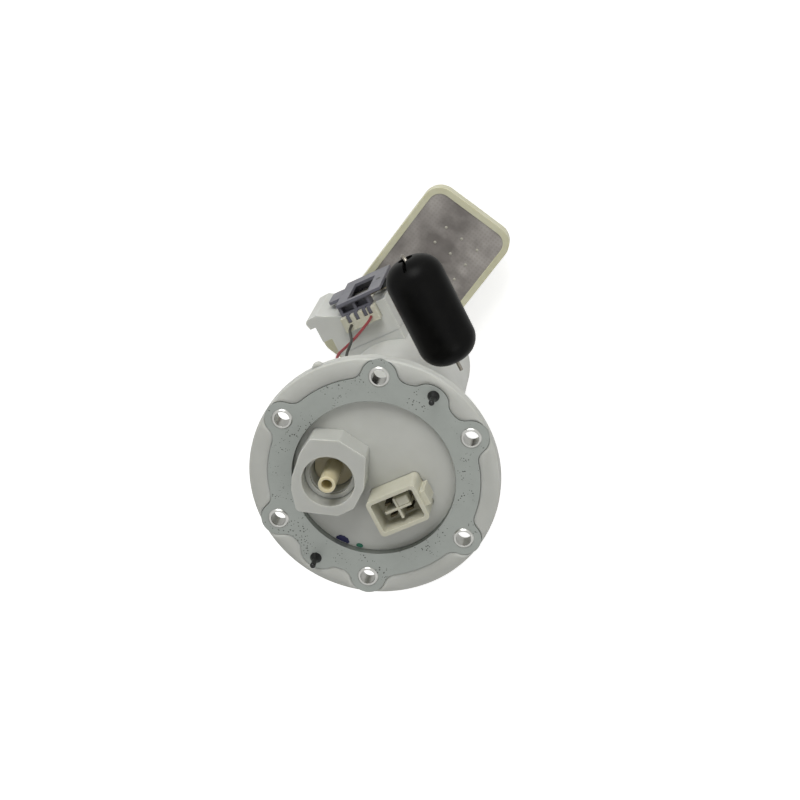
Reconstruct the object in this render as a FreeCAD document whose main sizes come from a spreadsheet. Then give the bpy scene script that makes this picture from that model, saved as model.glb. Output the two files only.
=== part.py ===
import FreeCAD, Part
import math
import os
import Sketcher

# A fuel pump module that hangs through the top of a small fuel tank. The origin is the
# centre of the bolt circle on the clamp ring's outer face. +Z points out of the tank, so
# the pump, the filter, the level sender and the strainer all lie below the ring.

SIZES = {
    # clamp ring
    "bolt_inset": 8.5,
    "bolt_count": 6.0,
    "ring_thickness": 2.0,
    "ring_inner_inset": 2.3,
    "ring_base_inset": 0.7,
    "lobe_radius": 7.4,
    "lobe_blend": 5.5,
    "ring_lip_depth": 2.0,
    "ring_lip_wall": 1.2,
    "fit_gap": 0.15,
    "pocket_gap": 0.4,
    "pocket_lobe_gap": 1.1,
    "press_gap": 0.05,
    "seal_gap": 0.3,
    # sleeves in the bolt holes, and the pins that hold the ring
    "sleeve_radius": 3.9,
    "sleeve_bore": 3.2,
    "flare_radius": 4.4,
    "flare_height": 0.5,
    "pin_stem_radius": 1.1,
    "pin_head_radius": 2.5,
    "pin_height": 8.4,
    # flange
    "flange_margin": 7.4,
    "flange_thickness": 5.5,
    "rim_rise": 1.5,
    "rim_round": 1.8,
    "dome_rise": 2.2,
    "plate_thickness": 3.2,
    "neck_radius": 36.5,
    "neck_wall": 2.2,
    "neck_depth": 14.5,
    "seal_width": 2.6,
    "seal_height": 2.0,
    "seal_groove_depth": 2.0,
    # outlet port
    "port_x": -17.4,
    "port_y": 0.9,
    "port_top": 9.5,
    "port_bore": 11.0,
    "port_bore_depth": 9.0,
    "port_step_bore": 8.6,
    "port_floor": -8.0,
    "port_boss_radius": 12.0,
    "stub_radius": 3.6,
    "stub_bore": 2.3,
    "stub_top": 12.5,
    "stub_foot_radius": 8.3,
    "stub_foot_height": 1.6,
    "port_ring_height": 1.8,
    "spigot_radius": 4.4,
    "spigot_bore": 2.0,
    "spigot_groove": 1.4,
    "spigot_wall": 2.2,
    "spigot_overlap": 6.0,
    "spigot_seal_height": 1.8,
    "spigot_seal_width": 1.6,
    # electrical connector
    "connector_x": 12.1,
    "connector_y": -7.7,
    "connector_angle": 30.0,
    "connector_length": 18.8,
    "connector_width": 13.2,
    "connector_wall": 1.7,
    "connector_top": 12.0,
    "connector_floor": 0.8,
    "connector_round": 2.0,
    "divider_wall": 1.0,
    "divider_top": 9.5,
    "blade_width": 2.8,
    "blade_thickness": 0.8,
    "blade_top": 7.5,
    "blade_tail": -13.0,
    "blade_pitch_x": 7.4,
    "blade_pitch_y": 5.4,
    # filter housing
    "plug_depth": 9.0,
    "cone_height": 13.0,
    "housing_radius": 28.5,
    "housing_foot_radius": 27.4,
    "cushion_thickness": 6.0,
    "housing_wall": 1.8,
    "bulkhead_thickness": 2.0,
    "cap_thickness": 3.0,
    "cap_skirt_depth": 8.0,
    "cap_skirt_wall": 1.6,
    # filter element
    "element_inner_radius": 20.6,
    "element_outer_radius": 25.0,
    "element_band": 1.1,
    "element_ring_height": 7.0,
    "pleat_count": 28.0,
    "end_ring_thickness": 2.0,
    "element_stay": 4.0,
    # pump
    "can_radius": 19.0,
    "can_wall": 1.1,
    "can_length": 80.0,
    "can_top_gap": 12.0,
    "end_cover_depth": 8.0,
    "inlet_cover_depth": 7.5,
    "cover_rim": 1.0,
    "nipple_offset": 9.0,
    "nipple_radius": 4.0,
    "nipple_bore": 2.6,
    "inlet_offset": 10.0,
    "inlet_radius": 5.2,
    "inlet_bore": 3.8,
    "inlet_dip": 1.0,
    "impeller_radius": 15.0,
    "impeller_thickness": 3.4,
    "impeller_gap": 0.3,
    "vane_count": 24.0,
    "vane_depth": 2.4,
    "middle_plate_thickness": 4.5,
    "armature_radius": 12.4,
    "armature_length": 40.0,
    "armature_rise": 5.0,
    "commutator_radius": 7.5,
    "commutator_length": 5.0,
    "shaft_radius": 1.6,
    "shaft_gap": 0.05,
    "bearing_radius": 3.6,
    "bearing_length": 4.0,
    "magnet_inner_radius": 13.2,
    "magnet_length": 46.0,
    "magnet_angle": 130.0,
    "brush_width": 2.4,
    "brush_pocket": 4.0,
    "valve_hole": 1.3,
    "valve_seat_depth": 7.0,
    "poppet_radius": 2.2,
    "poppet_height": 2.0,
    "stop_ring_height": 1.0,
    "spring_radius": 1.7,
    "spring_wire": 0.2,
    "spring_turns": 3.0,
    # strainer
    "strainer_angle": 57.5,
    "strainer_gap": 7.0,
    "strainer_thickness": 6.4,
    "strainer_tip": 79.0,
    "strainer_heel": 22.0,
    "strainer_near_side": 2.3,
    "strainer_width": 47.8,
    "strainer_border": 3.0,
    "strainer_round": 9.0,
    "mesh_thickness": 0.6,
    "shoe_length": 36.0,
    "shoe_thickness": 1.6,
    "strainer_neck_radius": 8.0,
    "grommet_wall": 1.5,
    "post_pitch": 9.15,
    "post_radius": 1.0,
    "post_first": 17.35,
    "mesh_inset": 1.5,
    "post_stand": 0.2,
    # level sender, in a frame turned by sender_angle: x along it, y outwards
    "sender_angle": 30.0,
    "pad_face": 30.0,
    "bracket_depth": 16.0,
    "bracket_left": 17.6,
    "bracket_right": 13.5,
    "bracket_step": 8.6,
    "ear_reach": 4.6,
    "ear_nose": 8.5,
    "ear_height": 5.2,
    "ear_round": 2.0,
    "bracket_wall": 2.4,
    "bracket_top": -97.0,
    "bracket_height": 35.0,
    "sender_left": 8.2,
    "sender_width": 22.6,
    "sender_depth": 6.4,
    "sender_top": -94.5,
    "sender_height": 36.0,
    "sender_wall": 1.4,
    "sender_box_width": 15.5,
    "sender_box_drop": 1.5,
    "bay_count": 2.0,
    "bay_depth": 4.0,
    "bay_wall": 1.2,
    "bay_skin": 0.8,
    "window_left": -2.7,
    "window_width": 10.7,
    "window_height": 24.0,
    "window_edge": 3.0,
    "plug_left": 8.6,
    "plug_width": 17.3,
    "plug_depth_out": 7.0,
    "plug_height": 8.0,
    "plug_top": -92.5,
    "prong_width": 1.7,
    "prong_reach": 3.2,
    "card_thickness": 0.8,
    "pivot_along": 11.2,
    "pivot_level": -112.0,
    "pivot_radius": 1.3,
    "hub_radius": 3.3,
    "hub_thickness": 2.8,
    "hub_gap": 0.3,
    "hub_reach": 6.0,
    "wiper_length": 9.0,
    "wiper_thickness": 0.5,
    # float and its arm
    "wire_radius": 0.8,
    "float_along": 42.0,
    "float_level": -50.0,
    "float_inner_end": 18.7,
    "float_length": 49.5,
    "float_radius": 12.9,
    "float_bore_gap": 0.08,
    "wire_stub": 4.9,
    "wire_bend": 4.0,
    "arm_foot": 20.5,
    "arm_clearance": 2.4,
    "float_round": 10.0,
    "float_recess_radius": 3.4,
    "float_recess_depth": 3.4,
    "float_notch_width": 1.6,
    "float_notch_depth": 3.4,
    # leads
    "lead_radius": 0.65,
    "terminal_stand": 3.0,
    "black_terminal_angle": 112.0,
    "red_terminal_angle": 120.0,
    # regulator
    "regulator_radius": 7.6,
    "regulator_length": 20.0,
    "regulator_out": 37.2,
    "regulator_angle": 255.0,
    "regulator_level": -111.0,
    "regulator_passage": 2.0,
    "regulator_seal_depth": 3.0,
    "cup_wall": 1.6,
    "clip_thickness": 0.8,
    "clip_height": 12.0,
    "clip_width": 8.0,
}

doc = FreeCAD.newDocument("fuel_pump_module")
dim = doc.addObject("Spreadsheet::Sheet", "dim")
for row, (alias, number) in enumerate(SIZES.items(), start=1):
    dim.set("A%d" % row, alias)
    dim.set("B%d" % row, str(number))
    dim.setAlias("B%d" % row, alias)
doc.recompute()

# Levels along Z, each written once as an expression on the sheet.
SEAT = "(-dim.ring_thickness)"
RIM_TOP = "(-dim.ring_thickness + dim.rim_rise)"
PLATE_END = "(-dim.ring_thickness - dim.flange_thickness)"
NECK_END = "(%s - dim.neck_depth)" % PLATE_END
SPIGOT_TOP = "(dim.port_floor - 5 - dim.fit_gap)"
CONE_END = "(%s - dim.cone_height)" % NECK_END
BULKHEAD_END = "(%s - dim.bulkhead_thickness)" % CONE_END
CAN_TOP = "(%s - dim.can_top_gap)" % BULKHEAD_END
CAN_END = "(%s - dim.can_length)" % CAN_TOP
CUSHION_TOP = "(%s - dim.cover_rim)" % CAN_END
HOUSING_END = "(%s - dim.cushion_thickness)" % CUSHION_TOP
CAP_END = "(%s - dim.cap_thickness)" % HOUSING_END
SKIRT_TOP = "(%s + dim.cap_skirt_depth)" % HOUSING_END
STRAINER_TOP = "(%s - dim.strainer_gap)" % CAP_END
STRAINER_END = "(%s - dim.strainer_thickness)" % STRAINER_TOP
SPIGOT_CORE = "(dim.spigot_radius - dim.spigot_groove)"
ELEMENT_CAP_TOP = "(%s - dim.element_stay)" % BULKHEAD_END
ELEMENT_CAP_LOW = "(%s - dim.end_ring_thickness)" % ELEMENT_CAP_TOP
ELEMENT_END = "(%s + dim.element_ring_height)" % SKIRT_TOP
INLET_END = "(%s - dim.inlet_dip)" % STRAINER_TOP
CHAMBER_END = "(%s + dim.inlet_cover_depth - dim.impeller_thickness - 2 * dim.impeller_gap)" % CAN_END
MIDDLE_TOP = "(%s + dim.inlet_cover_depth + dim.middle_plate_thickness)" % CAN_END
ARMATURE_TOP = "(%s + dim.armature_rise + dim.armature_length)" % MIDDLE_TOP
COMMUTATOR_TOP = "(%s + dim.commutator_length + 2)" % ARMATURE_TOP
NIPPLE_TOP = "(%s - 1.6)" % ELEMENT_CAP_LOW
VALVE_SEAT = "(%s - dim.valve_seat_depth)" % NIPPLE_TOP
REGULATOR_TOP = "dim.regulator_level"
REGULATOR_END = "(dim.regulator_level - dim.regulator_length)"
PASSAGE = "(dim.regulator_level + dim.regulator_passage + 1.6)"
CUP_TOP = "(dim.regulator_level + 2 * dim.regulator_passage + 3.2)"
PAD_TOP = "dim.bracket_top"
PAD_LOW = "(dim.bracket_top - dim.bracket_height)"
SENDER_LOW = "(dim.sender_top - dim.sender_height)"
CASE_TOP = "(dim.sender_top - dim.sender_box_drop)"
CAVITY_TOP = "(%s - dim.sender_wall - dim.bay_depth)" % CASE_TOP
PLUG_TOP = "dim.plug_top"
PLUG_LOW = "(dim.plug_top - dim.plug_height)"
TERMINAL_TOP = "(%s - 6.5)" % PLATE_END

# Radii, and places in the sender's own frame: x along it, y outwards.
BOLT_CIRCLE = "(dim.neck_radius + dim.bolt_inset)"
FLANGE_RADIUS = "(%s + dim.flange_margin)" % BOLT_CIRCLE
RING_INNER = "(dim.neck_radius - dim.ring_inner_inset)"
GROOVE_IN = "(%s - dim.fit_gap)" % RING_INNER
CUP_RADIUS = "(dim.regulator_radius + dim.fit_gap + dim.cup_wall)"
TERMINAL_REACH = "(dim.neck_radius + dim.terminal_stand)"
SENDER_IN = "(dim.pad_face + dim.bracket_depth)"
SENDER_OUT = "(%s + dim.sender_depth)" % SENDER_IN
PLATE_IN = "(%s - dim.sender_wall)" % SENDER_OUT
SENDER_RIGHT = "(dim.sender_width - dim.sender_left)"
BOX_RIGHT = "(dim.sender_box_width - dim.sender_left)"
CARD_OUT = "(%s + dim.card_thickness)" % SENDER_IN
HUB_OUT = "(%s - dim.hub_gap)" % PLATE_IN
HUB_IN = "(%s - dim.hub_thickness)" % HUB_OUT
WIRE_DEPTH = "((%s + %s) / 2)" % (HUB_IN, HUB_OUT)
PRONGS = ("-4.8", "-0.8", "3.4", "5.8")
BLACK_X = "(-5.0)"
RED_X = "5.1"
LEAD_Y = "41.5"
LEAD_HOLE = "dim.lead_radius + 0.02"
PLUG_RADIUS = "(dim.neck_radius - dim.neck_wall - dim.fit_gap)"

parts = []


def value(expression):
    """The number that an expression on the sheet gives now."""
    found = dim.evalExpression(expression)
    return float(getattr(found, "Value", found))


def bind(target, **expressions):
    """Binds properties of an object to expressions on the sheet."""
    for name, expression in expressions.items():
        target.setExpression(name, expression)
    return target


def place(target, x="0", y="0", z="0", angle=None):
    """Puts an object at x, y, z, turned about Z by angle."""
    if angle is not None:
        turn = FreeCAD.Rotation(FreeCAD.Vector(0, 0, 1), value(angle))
        target.Placement = FreeCAD.Placement(FreeCAD.Vector(), turn)
        target.setExpression("Placement.Rotation.Angle", angle)
    target.setExpression("Placement.Base.x", x)
    target.setExpression("Placement.Base.y", y)
    target.setExpression("Placement.Base.z", z)
    return target


def cylinder(name, radius, low, high, x="0", y="0"):
    """An upright cylinder from level low to level high."""
    made = doc.addObject("Part::Cylinder", name)
    bind(made, Radius=radius, Height="%s - (%s)" % (high, low))
    return place(made, x, y, low)


def cone(name, low_radius, high_radius, low, high, x="0", y="0"):
    """An upright cone from level low to level high."""
    made = doc.addObject("Part::Cone", name)
    bind(made, Radius1=low_radius, Radius2=high_radius, Height="%s - (%s)" % (high, low))
    return place(made, x, y, low)


def block(name, x, y, z):
    """A box between the two ends that x, y and z each give."""
    made = doc.addObject("Part::Box", name)
    bind(
        made,
        Length="%s - (%s)" % (x[1], x[0]),
        Width="%s - (%s)" % (y[1], y[0]),
        Height="%s - (%s)" % (z[1], z[0]),
    )
    return place(made, x[0], y[0], z[0])


def fuse(name, *pieces):
    """The union of several objects."""
    made = doc.addObject("Part::MultiFuse", name)
    made.Shapes = list(pieces)
    made.Refine = True
    return made


def cut(name, base, *tools):
    """A base less one tool, or less the union of several."""
    tool = tools[0] if len(tools) == 1 else fuse(name + "_tools", *tools)
    made = doc.addObject("Part::Cut", name)
    made.Base = base
    made.Tool = tool
    made.Refine = True
    return made


def group(name, pieces):
    """Separate solids of one kind, kept together as one sub-part."""
    made = doc.addObject("Part::Compound", name)
    made.Links = list(pieces)
    return made


def keep(node, made):
    """Names a finished sub-part, so that it is checked and written."""
    made.Label = node
    parts.append(made)
    return made


def outline_sketch(body, name, role, points, level="0"):
    """A closed polygon on an origin plane, each corner bound to expressions."""
    sketch = body.newObject("Sketcher::SketchObject", name)
    plane = [item for item in body.Origin.OriginFeatures if item.Role == role][0]
    sketch.AttachmentSupport = [(plane, "")]
    sketch.MapMode = "FlatFace"
    sketch.setExpression("AttachmentOffset.Base.z", level)
    corners = [FreeCAD.Vector(value(x), value(y), 0) for x, y in points]
    count = len(corners)
    for index in range(count):
        edge = Part.LineSegment(corners[index], corners[(index + 1) % count])
        sketch.addGeometry(edge, False)
    for index in range(count):
        following = (index + 1) % count
        sketch.addConstraint(Sketcher.Constraint("Coincident", index, 2, following, 1))
    for index, (x, y) in enumerate(points):
        for kind, axis, expression in (("DistanceX", -2, x), ("DistanceY", -1, y)):
            if expression == "0":
                on_axis = Sketcher.Constraint("PointOnObject", index, 1, axis)
                sketch.addConstraint(on_axis)
                continue
            fixed = Sketcher.Constraint(kind, -1, 1, index, 1, value(expression))
            number = sketch.addConstraint(fixed)
            sketch.setExpression("Constraints[%d]" % number, expression)
    return sketch


def turned(name, points):
    """A body turned about Z from a closed outline of (radius, level) corners."""
    body = doc.addObject("PartDesign::Body", name)
    sketch = outline_sketch(body, name + "_profile", "XZ_Plane", points)
    feature = body.newObject("PartDesign::Revolution", name + "_turn")
    feature.Profile = sketch
    feature.ReferenceAxis = (sketch, ["V_Axis"])
    feature.Angle = 360
    return body


def padded(name, points, low, high):
    """A body raised from a closed outline of (x, y) corners, from low to high."""
    body = doc.addObject("PartDesign::Body", name)
    sketch = outline_sketch(body, name + "_outline", "XY_Plane", points, low)
    feature = body.newObject("PartDesign::Pad", name + "_pad")
    feature.Profile = sketch
    feature.setExpression("Length", "%s - (%s)" % (high, low))
    return body


def rounded(body, name, radius, test):
    """Rounds the edges of a body's tip for which test(edge) is true."""
    doc.recompute()
    before = body.Tip
    edges = before.Shape.Edges
    names = ["Edge%d" % (i + 1) for i, edge in enumerate(edges) if test(edge)]
    feature = body.newObject("PartDesign::Fillet", name)
    feature.Base = (before, names)
    feature.setExpression("Radius", radius)
    return body


def upright(edge):
    """True for a straight edge that runs along Z."""
    if len(edge.Vertexes) != 2:
        return False
    run = edge.Vertexes[1].Point - edge.Vertexes[0].Point
    return abs(run.z) > 0.99 * run.Length


def ring_of_angles(count, first=0.0):
    """Evenly spaced angles in degrees."""
    return [first + 360.0 * index / count for index in range(int(count))]


def at_radius(radius, degrees):
    """The x and y expressions of a point at a radius and an angle."""
    return ("%s * cos(%.3f deg)" % (radius, degrees), "%s * sin(%.3f deg)" % (radius, degrees))


BOLT_ANGLES = ring_of_angles(value("dim.bolt_count"), 30.0)
PIN_ANGLES = (60.0, 240.0)


def scalloped_prism(name, growth, lobe_growth, low, high):
    """The clamp ring's outline, grown by two gaps: a disc with lobes and hollow blends."""
    base = value(BOLT_CIRCLE) - value("dim.ring_base_inset") + growth
    lobe = value("dim.lobe_radius") + lobe_growth
    reach = value(BOLT_CIRCLE)
    angles = sorted(set(BOLT_ANGLES) | set(PIN_ANGLES))
    spacing = min(b - a for a, b in zip(angles, angles[1:]))
    half = math.cos(math.radians(spacing / 2))
    room = lobe**2 - base**2 - reach**2 + 2 * reach * base * half
    room /= 2 * base - 2 * reach * half - 2 * lobe
    blend = min(value("dim.lobe_blend"), 0.9 * room)
    far = base + blend
    swing = math.acos((reach**2 + far**2 - (lobe + blend) ** 2) / (2 * reach * far))

    def polar(radius, angle):
        return FreeCAD.Vector(radius * math.cos(angle), radius * math.sin(angle), low)

    edges = []
    previous = None
    for degrees in angles + [angles[0] + 360]:
        middle = math.radians(degrees)
        lobe_centre = polar(reach, middle)
        stops = []
        for side in (-1, 1):
            blend_centre = polar(far, middle + side * swing)
            on_base = polar(base, middle + side * swing)
            towards = (lobe_centre - blend_centre).normalize()
            on_lobe = blend_centre + towards * blend
            outward = (on_base - blend_centre).normalize() + towards
            between = blend_centre + outward.normalize() * blend
            stops.append((on_base, between, on_lobe))
        if previous is not None:
            span = (previous[1] + middle - swing) / 2
            edges.append(Part.Arc(previous[0], polar(base, span), stops[0][0]).toShape())
        if degrees < angles[0] + 360:
            edges.append(Part.Arc(*stops[0]).toShape())
            tip = polar(reach + lobe, middle)
            edges.append(Part.Arc(stops[0][2], tip, stops[1][2]).toShape())
            edges.append(Part.Arc(stops[1][2], stops[1][1], stops[1][0]).toShape())
            previous = (stops[1][0], middle + swing)
    face = Part.Face(Part.Wire(edges))
    made = doc.addObject("Part::Feature", name)
    made.Shape = face.extrude(FreeCAD.Vector(0, 0, high - low))
    return made


def make_clamp_ring():
    """The zinc plated steel ring, its drawn inner lip, and the holes through it."""
    blank = scalloped_prism("ring_blank", 0.0, 0.0, value(SEAT), 0.0)
    lip_end = "(%s - dim.ring_lip_depth)" % SEAT
    lip = cylinder("ring_lip", RING_INNER + " + dim.ring_lip_wall", lip_end, "0")
    solid = fuse("ring_solid", blank, lip)
    tools = [cylinder("ring_mouth", RING_INNER, lip_end + " - 1", "1")]
    for angle in BOLT_ANGLES:
        x, y = at_radius(BOLT_CIRCLE, angle)
        hole = "dim.sleeve_radius + dim.fit_gap"
        tools.append(cylinder("ring_hole", hole, lip_end + " - 1", "1", x, y))
    for angle in PIN_ANGLES:
        x, y = at_radius(BOLT_CIRCLE, angle)
        hole = "dim.pin_stem_radius + dim.fit_gap"
        tools.append(cylinder("ring_pin_hole", hole, lip_end + " - 1", "1", x, y))
    keep("clamp_ring", cut("ring", solid, *tools))


def make_sleeves_and_pins():
    """Six flared sleeves that take the bolts' load, and two push pins."""
    sleeves = []
    for angle in BOLT_ANGLES:
        x, y = at_radius(BOLT_CIRCLE, angle)
        tube = cylinder("sleeve_tube", "dim.sleeve_radius", PLATE_END, "0", x, y)
        flare = cone("sleeve_flare", "dim.flare_radius", "dim.sleeve_radius", "0", "dim.flare_height", x, y)
        bore = cylinder("sleeve_bore", "dim.sleeve_bore", PLATE_END + " - 1", "dim.flare_height + 1", x, y)
        sleeves.append(cut("sleeve", fuse("sleeve_solid", tube, flare), bore))
    keep("limiter_sleeves", group("sleeves", sleeves))
    pins = []
    for angle in PIN_ANGLES:
        x, y = at_radius(BOLT_CIRCLE, angle)
        foot = "(%s + dim.plate_thickness / 2)" % PLATE_END
        stem = cylinder("pin_stem", "dim.pin_stem_radius", foot, "dim.pin_height - dim.pin_stem_radius", x, y)
        head = cone(
            "pin_head", "dim.pin_head_radius", "dim.pin_stem_radius", "0", "dim.pin_head_radius", x, y
        )
        tip = doc.addObject("Part::Sphere", "pin_tip")
        bind(tip, Radius="dim.pin_stem_radius * 1.1")
        place(tip, x, y, "dim.pin_height - dim.pin_stem_radius * 1.1")
        pins.append(fuse("pin", stem, head, tip))
    keep("ring_pins", group("pins", pins))


def rim_corner(level, sign, angles):
    """Points round one rounded corner of the flange's rim."""
    points = []
    for angle in angles:
        radius = "%s - dim.rim_round * (1 - cos(%d deg))" % (FLANGE_RADIUS, angle)
        points.append((radius, "%s %s dim.rim_round * (1 - sin(%d deg))" % (level, sign, angle)))
    return points


def make_flange():
    """The moulded flange: disc, domed plate, neck, port collar and connector seat."""
    dome_edge = "(%s - dim.rim_rise)" % SEAT
    groove_end = "(%s - dim.ring_lip_depth - dim.fit_gap)" % SEAT
    seal_in = "(dim.neck_radius + 0.6)"
    seal_out = "(%s + dim.seal_width + 2 * dim.fit_gap)" % seal_in
    seal_deep = "(%s + dim.seal_groove_depth)" % PLATE_END
    groove_out = "(%s + dim.ring_lip_wall + dim.fit_gap)" % RING_INNER
    under = "(%s - dim.plate_thickness)" % dome_edge
    profile = [
        ("0", "%s + dim.dome_rise" % dome_edge),
        ("0.45 * %s" % GROOVE_IN, "%s + dim.dome_rise * 0.8" % dome_edge),
        ("0.8 * %s" % GROOVE_IN, "%s + dim.dome_rise * 0.36" % dome_edge),
        (GROOVE_IN, dome_edge),
        (GROOVE_IN, groove_end),
        (groove_out, groove_end),
        (groove_out, RIM_TOP),
        *rim_corner(RIM_TOP, "-", (90, 60, 30, 0)),
        *rim_corner(PLATE_END, "+", (0, 30, 60, 90)),
        (seal_out, PLATE_END),
        (seal_out, seal_deep),
        (seal_in, seal_deep),
        (seal_in, PLATE_END),
        ("dim.neck_radius", PLATE_END),
        ("dim.neck_radius", NECK_END),
        ("dim.neck_radius - dim.neck_wall", NECK_END),
        ("dim.neck_radius - dim.neck_wall", under),
        ("0", under),
    ]
    disc = turned("flange_disc", profile)

    pocket = cut(
        "ring_pocket",
        scalloped_prism(
            "pocket_blank",
            value("dim.pocket_gap"),
            value("dim.pocket_lobe_gap"),
            value(SEAT),
            value(RIM_TOP) + 1,
        ),
        cylinder("pocket_core", GROOVE_IN, SEAT + " - 1", RIM_TOP + " + 2"),
    )
    collar = place(port_collar(), "dim.port_x", "dim.port_y", "0")
    boss_low = "(dim.port_floor - 2.5)"
    boss = cylinder("port_boss", "dim.port_boss_radius", boss_low, under + " + 1", "dim.port_x", "dim.port_y")
    socket_radius = "dim.spigot_radius + dim.fit_gap + dim.spigot_wall"
    socket_low = "(%s - dim.spigot_overlap)" % SPIGOT_TOP
    socket = cylinder("port_socket", socket_radius, socket_low, boss_low + " + 1", "dim.port_x", "dim.port_y")
    solid = fuse("flange_solid", disc, collar, boss, socket)
    tools = [
        pocket,
        port_hole("port_mouth", "dim.port_bore", "dim.port_top - dim.port_bore_depth", "dim.port_top + 1"),
        port_hole("port_step", "dim.port_step_bore", "dim.port_floor", "dim.port_top"),
        port_hole("port_passage", "dim.stub_bore", SPIGOT_TOP + " - 1", "dim.port_floor + 1"),
        port_hole(
            "spigot_seat",
            "dim.spigot_radius + dim.fit_gap",
            socket_low + " - 1",
            SPIGOT_TOP + " + dim.fit_gap",
        ),
    ]
    for angle in BOLT_ANGLES:
        x, y = at_radius(BOLT_CIRCLE, angle)
        hole = "dim.sleeve_radius + dim.fit_gap"
        tools.append(cylinder("flange_hole", hole, PLATE_END + " - 1", "1", x, y))
    for angle in PIN_ANGLES:
        x, y = at_radius(BOLT_CIRCLE, angle)
        hole = "dim.pin_stem_radius + dim.fit_gap"
        tools.append(cylinder("flange_pin_hole", hole, "%s + dim.plate_thickness / 2" % PLATE_END, "1", x, y))
    for angle in (value("dim.black_terminal_angle"), value("dim.red_terminal_angle")):
        slot = doc.addObject("Part::Compound", "terminal_slot")
        slot.Links = [terminal_tab("terminal_slot_tab", "0.02", "dim.neck_radius + 1")]
        tools.append(place(slot, angle="%.3f" % angle))
    seat = connector_block("connector_seat", "dim.fit_gap", dome_edge, "3")
    tools.append(seat)
    for along, across in blade_places():
        slot = blade("blade_slot", along, across, "dim.fit_gap", under + " - 1", "1")
        tools.append(slot)
    keep("flange", cut("flange_cut", solid, *tools))
    seal_low = "(%s - dim.seal_height)" % seal_deep
    outer = "%s - dim.fit_gap" % seal_out
    inner = "%s + dim.fit_gap" % seal_in
    ring = cylinder("seal_disc", outer, seal_low, seal_deep)
    keep(
        "flange_seal",
        cut("seal", ring, cylinder("seal_hole", inner, seal_low + " - 1", seal_deep + " + 1")),
    )


def port_hole(name, radius, low, high):
    """A cylinder on the outlet port's axis."""
    return cylinder(name, radius, low, high, "dim.port_x", "dim.port_y")


def port_collar():
    """The raised collar round the port: flats that stop a coupling from turning."""
    flats = [
        ("-8.3", "18.1"),
        ("3.6", "18.6"),
        ("15.0", "12.4"),
        ("15.0", "-1.6"),
        ("11.2", "-10.7"),
        ("4.8", "-14.9"),
        ("-12.6", "-14.6"),
        ("-15.0", "-5.2"),
        ("-15.0", "0.5"),
        ("-12.2", "11.1"),
    ]
    body = padded("port_collar", flats, "%s - dim.rim_rise - 1" % SEAT, "dim.port_top")
    return rounded(body, "collar_rounds", "dim.connector_round", upright)


def connector_frame(made):
    """Turns a piece that is built about the connector's centre to its place."""
    return place(made, "dim.connector_x", "dim.connector_y", "0", "dim.connector_angle")


def rectangle(name, length, width, low, high):
    """A rectangular body centred on its own axes."""
    half = "(%s) / 2" % length
    side = "(%s) / 2" % width
    corners = [("-" + half, "-" + side), (half, "-" + side), (half, side), ("-" + half, side)]
    return padded(name, corners, low, high)


def connector_block(name, growth, low, high):
    """The connector shell's outer block, grown by growth on every side."""
    length = "dim.connector_length + 2 * dim.connector_wall + 2 * (%s)" % growth
    width = "dim.connector_width + 2 * dim.connector_wall + 2 * (%s)" % growth
    body = rectangle(name, length, width, low, high)
    rounded(body, name + "_rounds", "dim.connector_round", upright)
    return connector_frame(body)


def blade_places():
    """The four terminal places in the connector's own frame."""
    return [(a, b) for a in (-0.5, 0.5) for b in (-0.5, 0.5)]


def blade(name, along, across, growth, low, high):
    """One flat terminal, or the slot it passes through."""
    x = "(%.1f * dim.blade_pitch_x)" % along
    y = "(%.1f * dim.blade_pitch_y)" % across
    half = "(dim.blade_width / 2 + %s)" % growth
    thin = "(dim.blade_thickness / 2 + %s)" % growth
    made = block(
        name, (x + " - " + half, x + " + " + half), (y + " - " + thin, y + " + " + thin), (low, high)
    )
    turned_block = doc.addObject("Part::Compound", name + "_turned")
    turned_block.Links = [made]
    return connector_frame(turned_block)


def make_connector():
    """The four-way shell with its cross shaped divider, and its blades."""
    foot = "(%s - dim.rim_rise)" % SEAT
    shell = connector_block("shell_block", "0", foot, "dim.connector_top")
    cavity = rectangle(
        "shell_cavity",
        "dim.connector_length",
        "dim.connector_width",
        "dim.connector_floor",
        "dim.connector_top + 1",
    )
    rounded(cavity, "cavity_rounds", "dim.connector_round / 2", upright)
    hollow = cut("shell_hollow", shell, connector_frame(cavity))
    floor = "(dim.connector_floor - 0.5)"
    long_wall = rectangle(
        "divider_long", "dim.connector_length * 0.62", "dim.divider_wall", floor, "dim.divider_top"
    )
    cross_wall = rectangle(
        "divider_cross", "dim.divider_wall", "dim.connector_width * 0.7", floor, "dim.divider_top"
    )
    latch_x = "(dim.connector_length / 2 + dim.connector_wall - 0.4)"
    latch_low = foot + " + dim.dome_rise + dim.fit_gap"
    latch = block(
        "latch", (latch_x, latch_x + " + 2.6"), ("-3.2", "3.2"), (latch_low, "dim.connector_top - 2")
    )
    latch_turned = doc.addObject("Part::Compound", "latch_turned")
    latch_turned.Links = [latch]
    whole = fuse(
        "shell_whole",
        hollow,
        connector_frame(long_wall),
        connector_frame(cross_wall),
        connector_frame(latch_turned),
    )
    slots = [
        blade("shell_slot", a, b, "0.02", foot + " - 1", "dim.connector_floor + 1")
        for a, b in blade_places()
    ]
    keep("connector_shell", cut("shell", whole, *slots))
    blades = [blade("blade", a, b, "0", "dim.blade_tail", "dim.blade_top") for a, b in blade_places()]
    keep("connector_blades", group("blades", blades))


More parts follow.
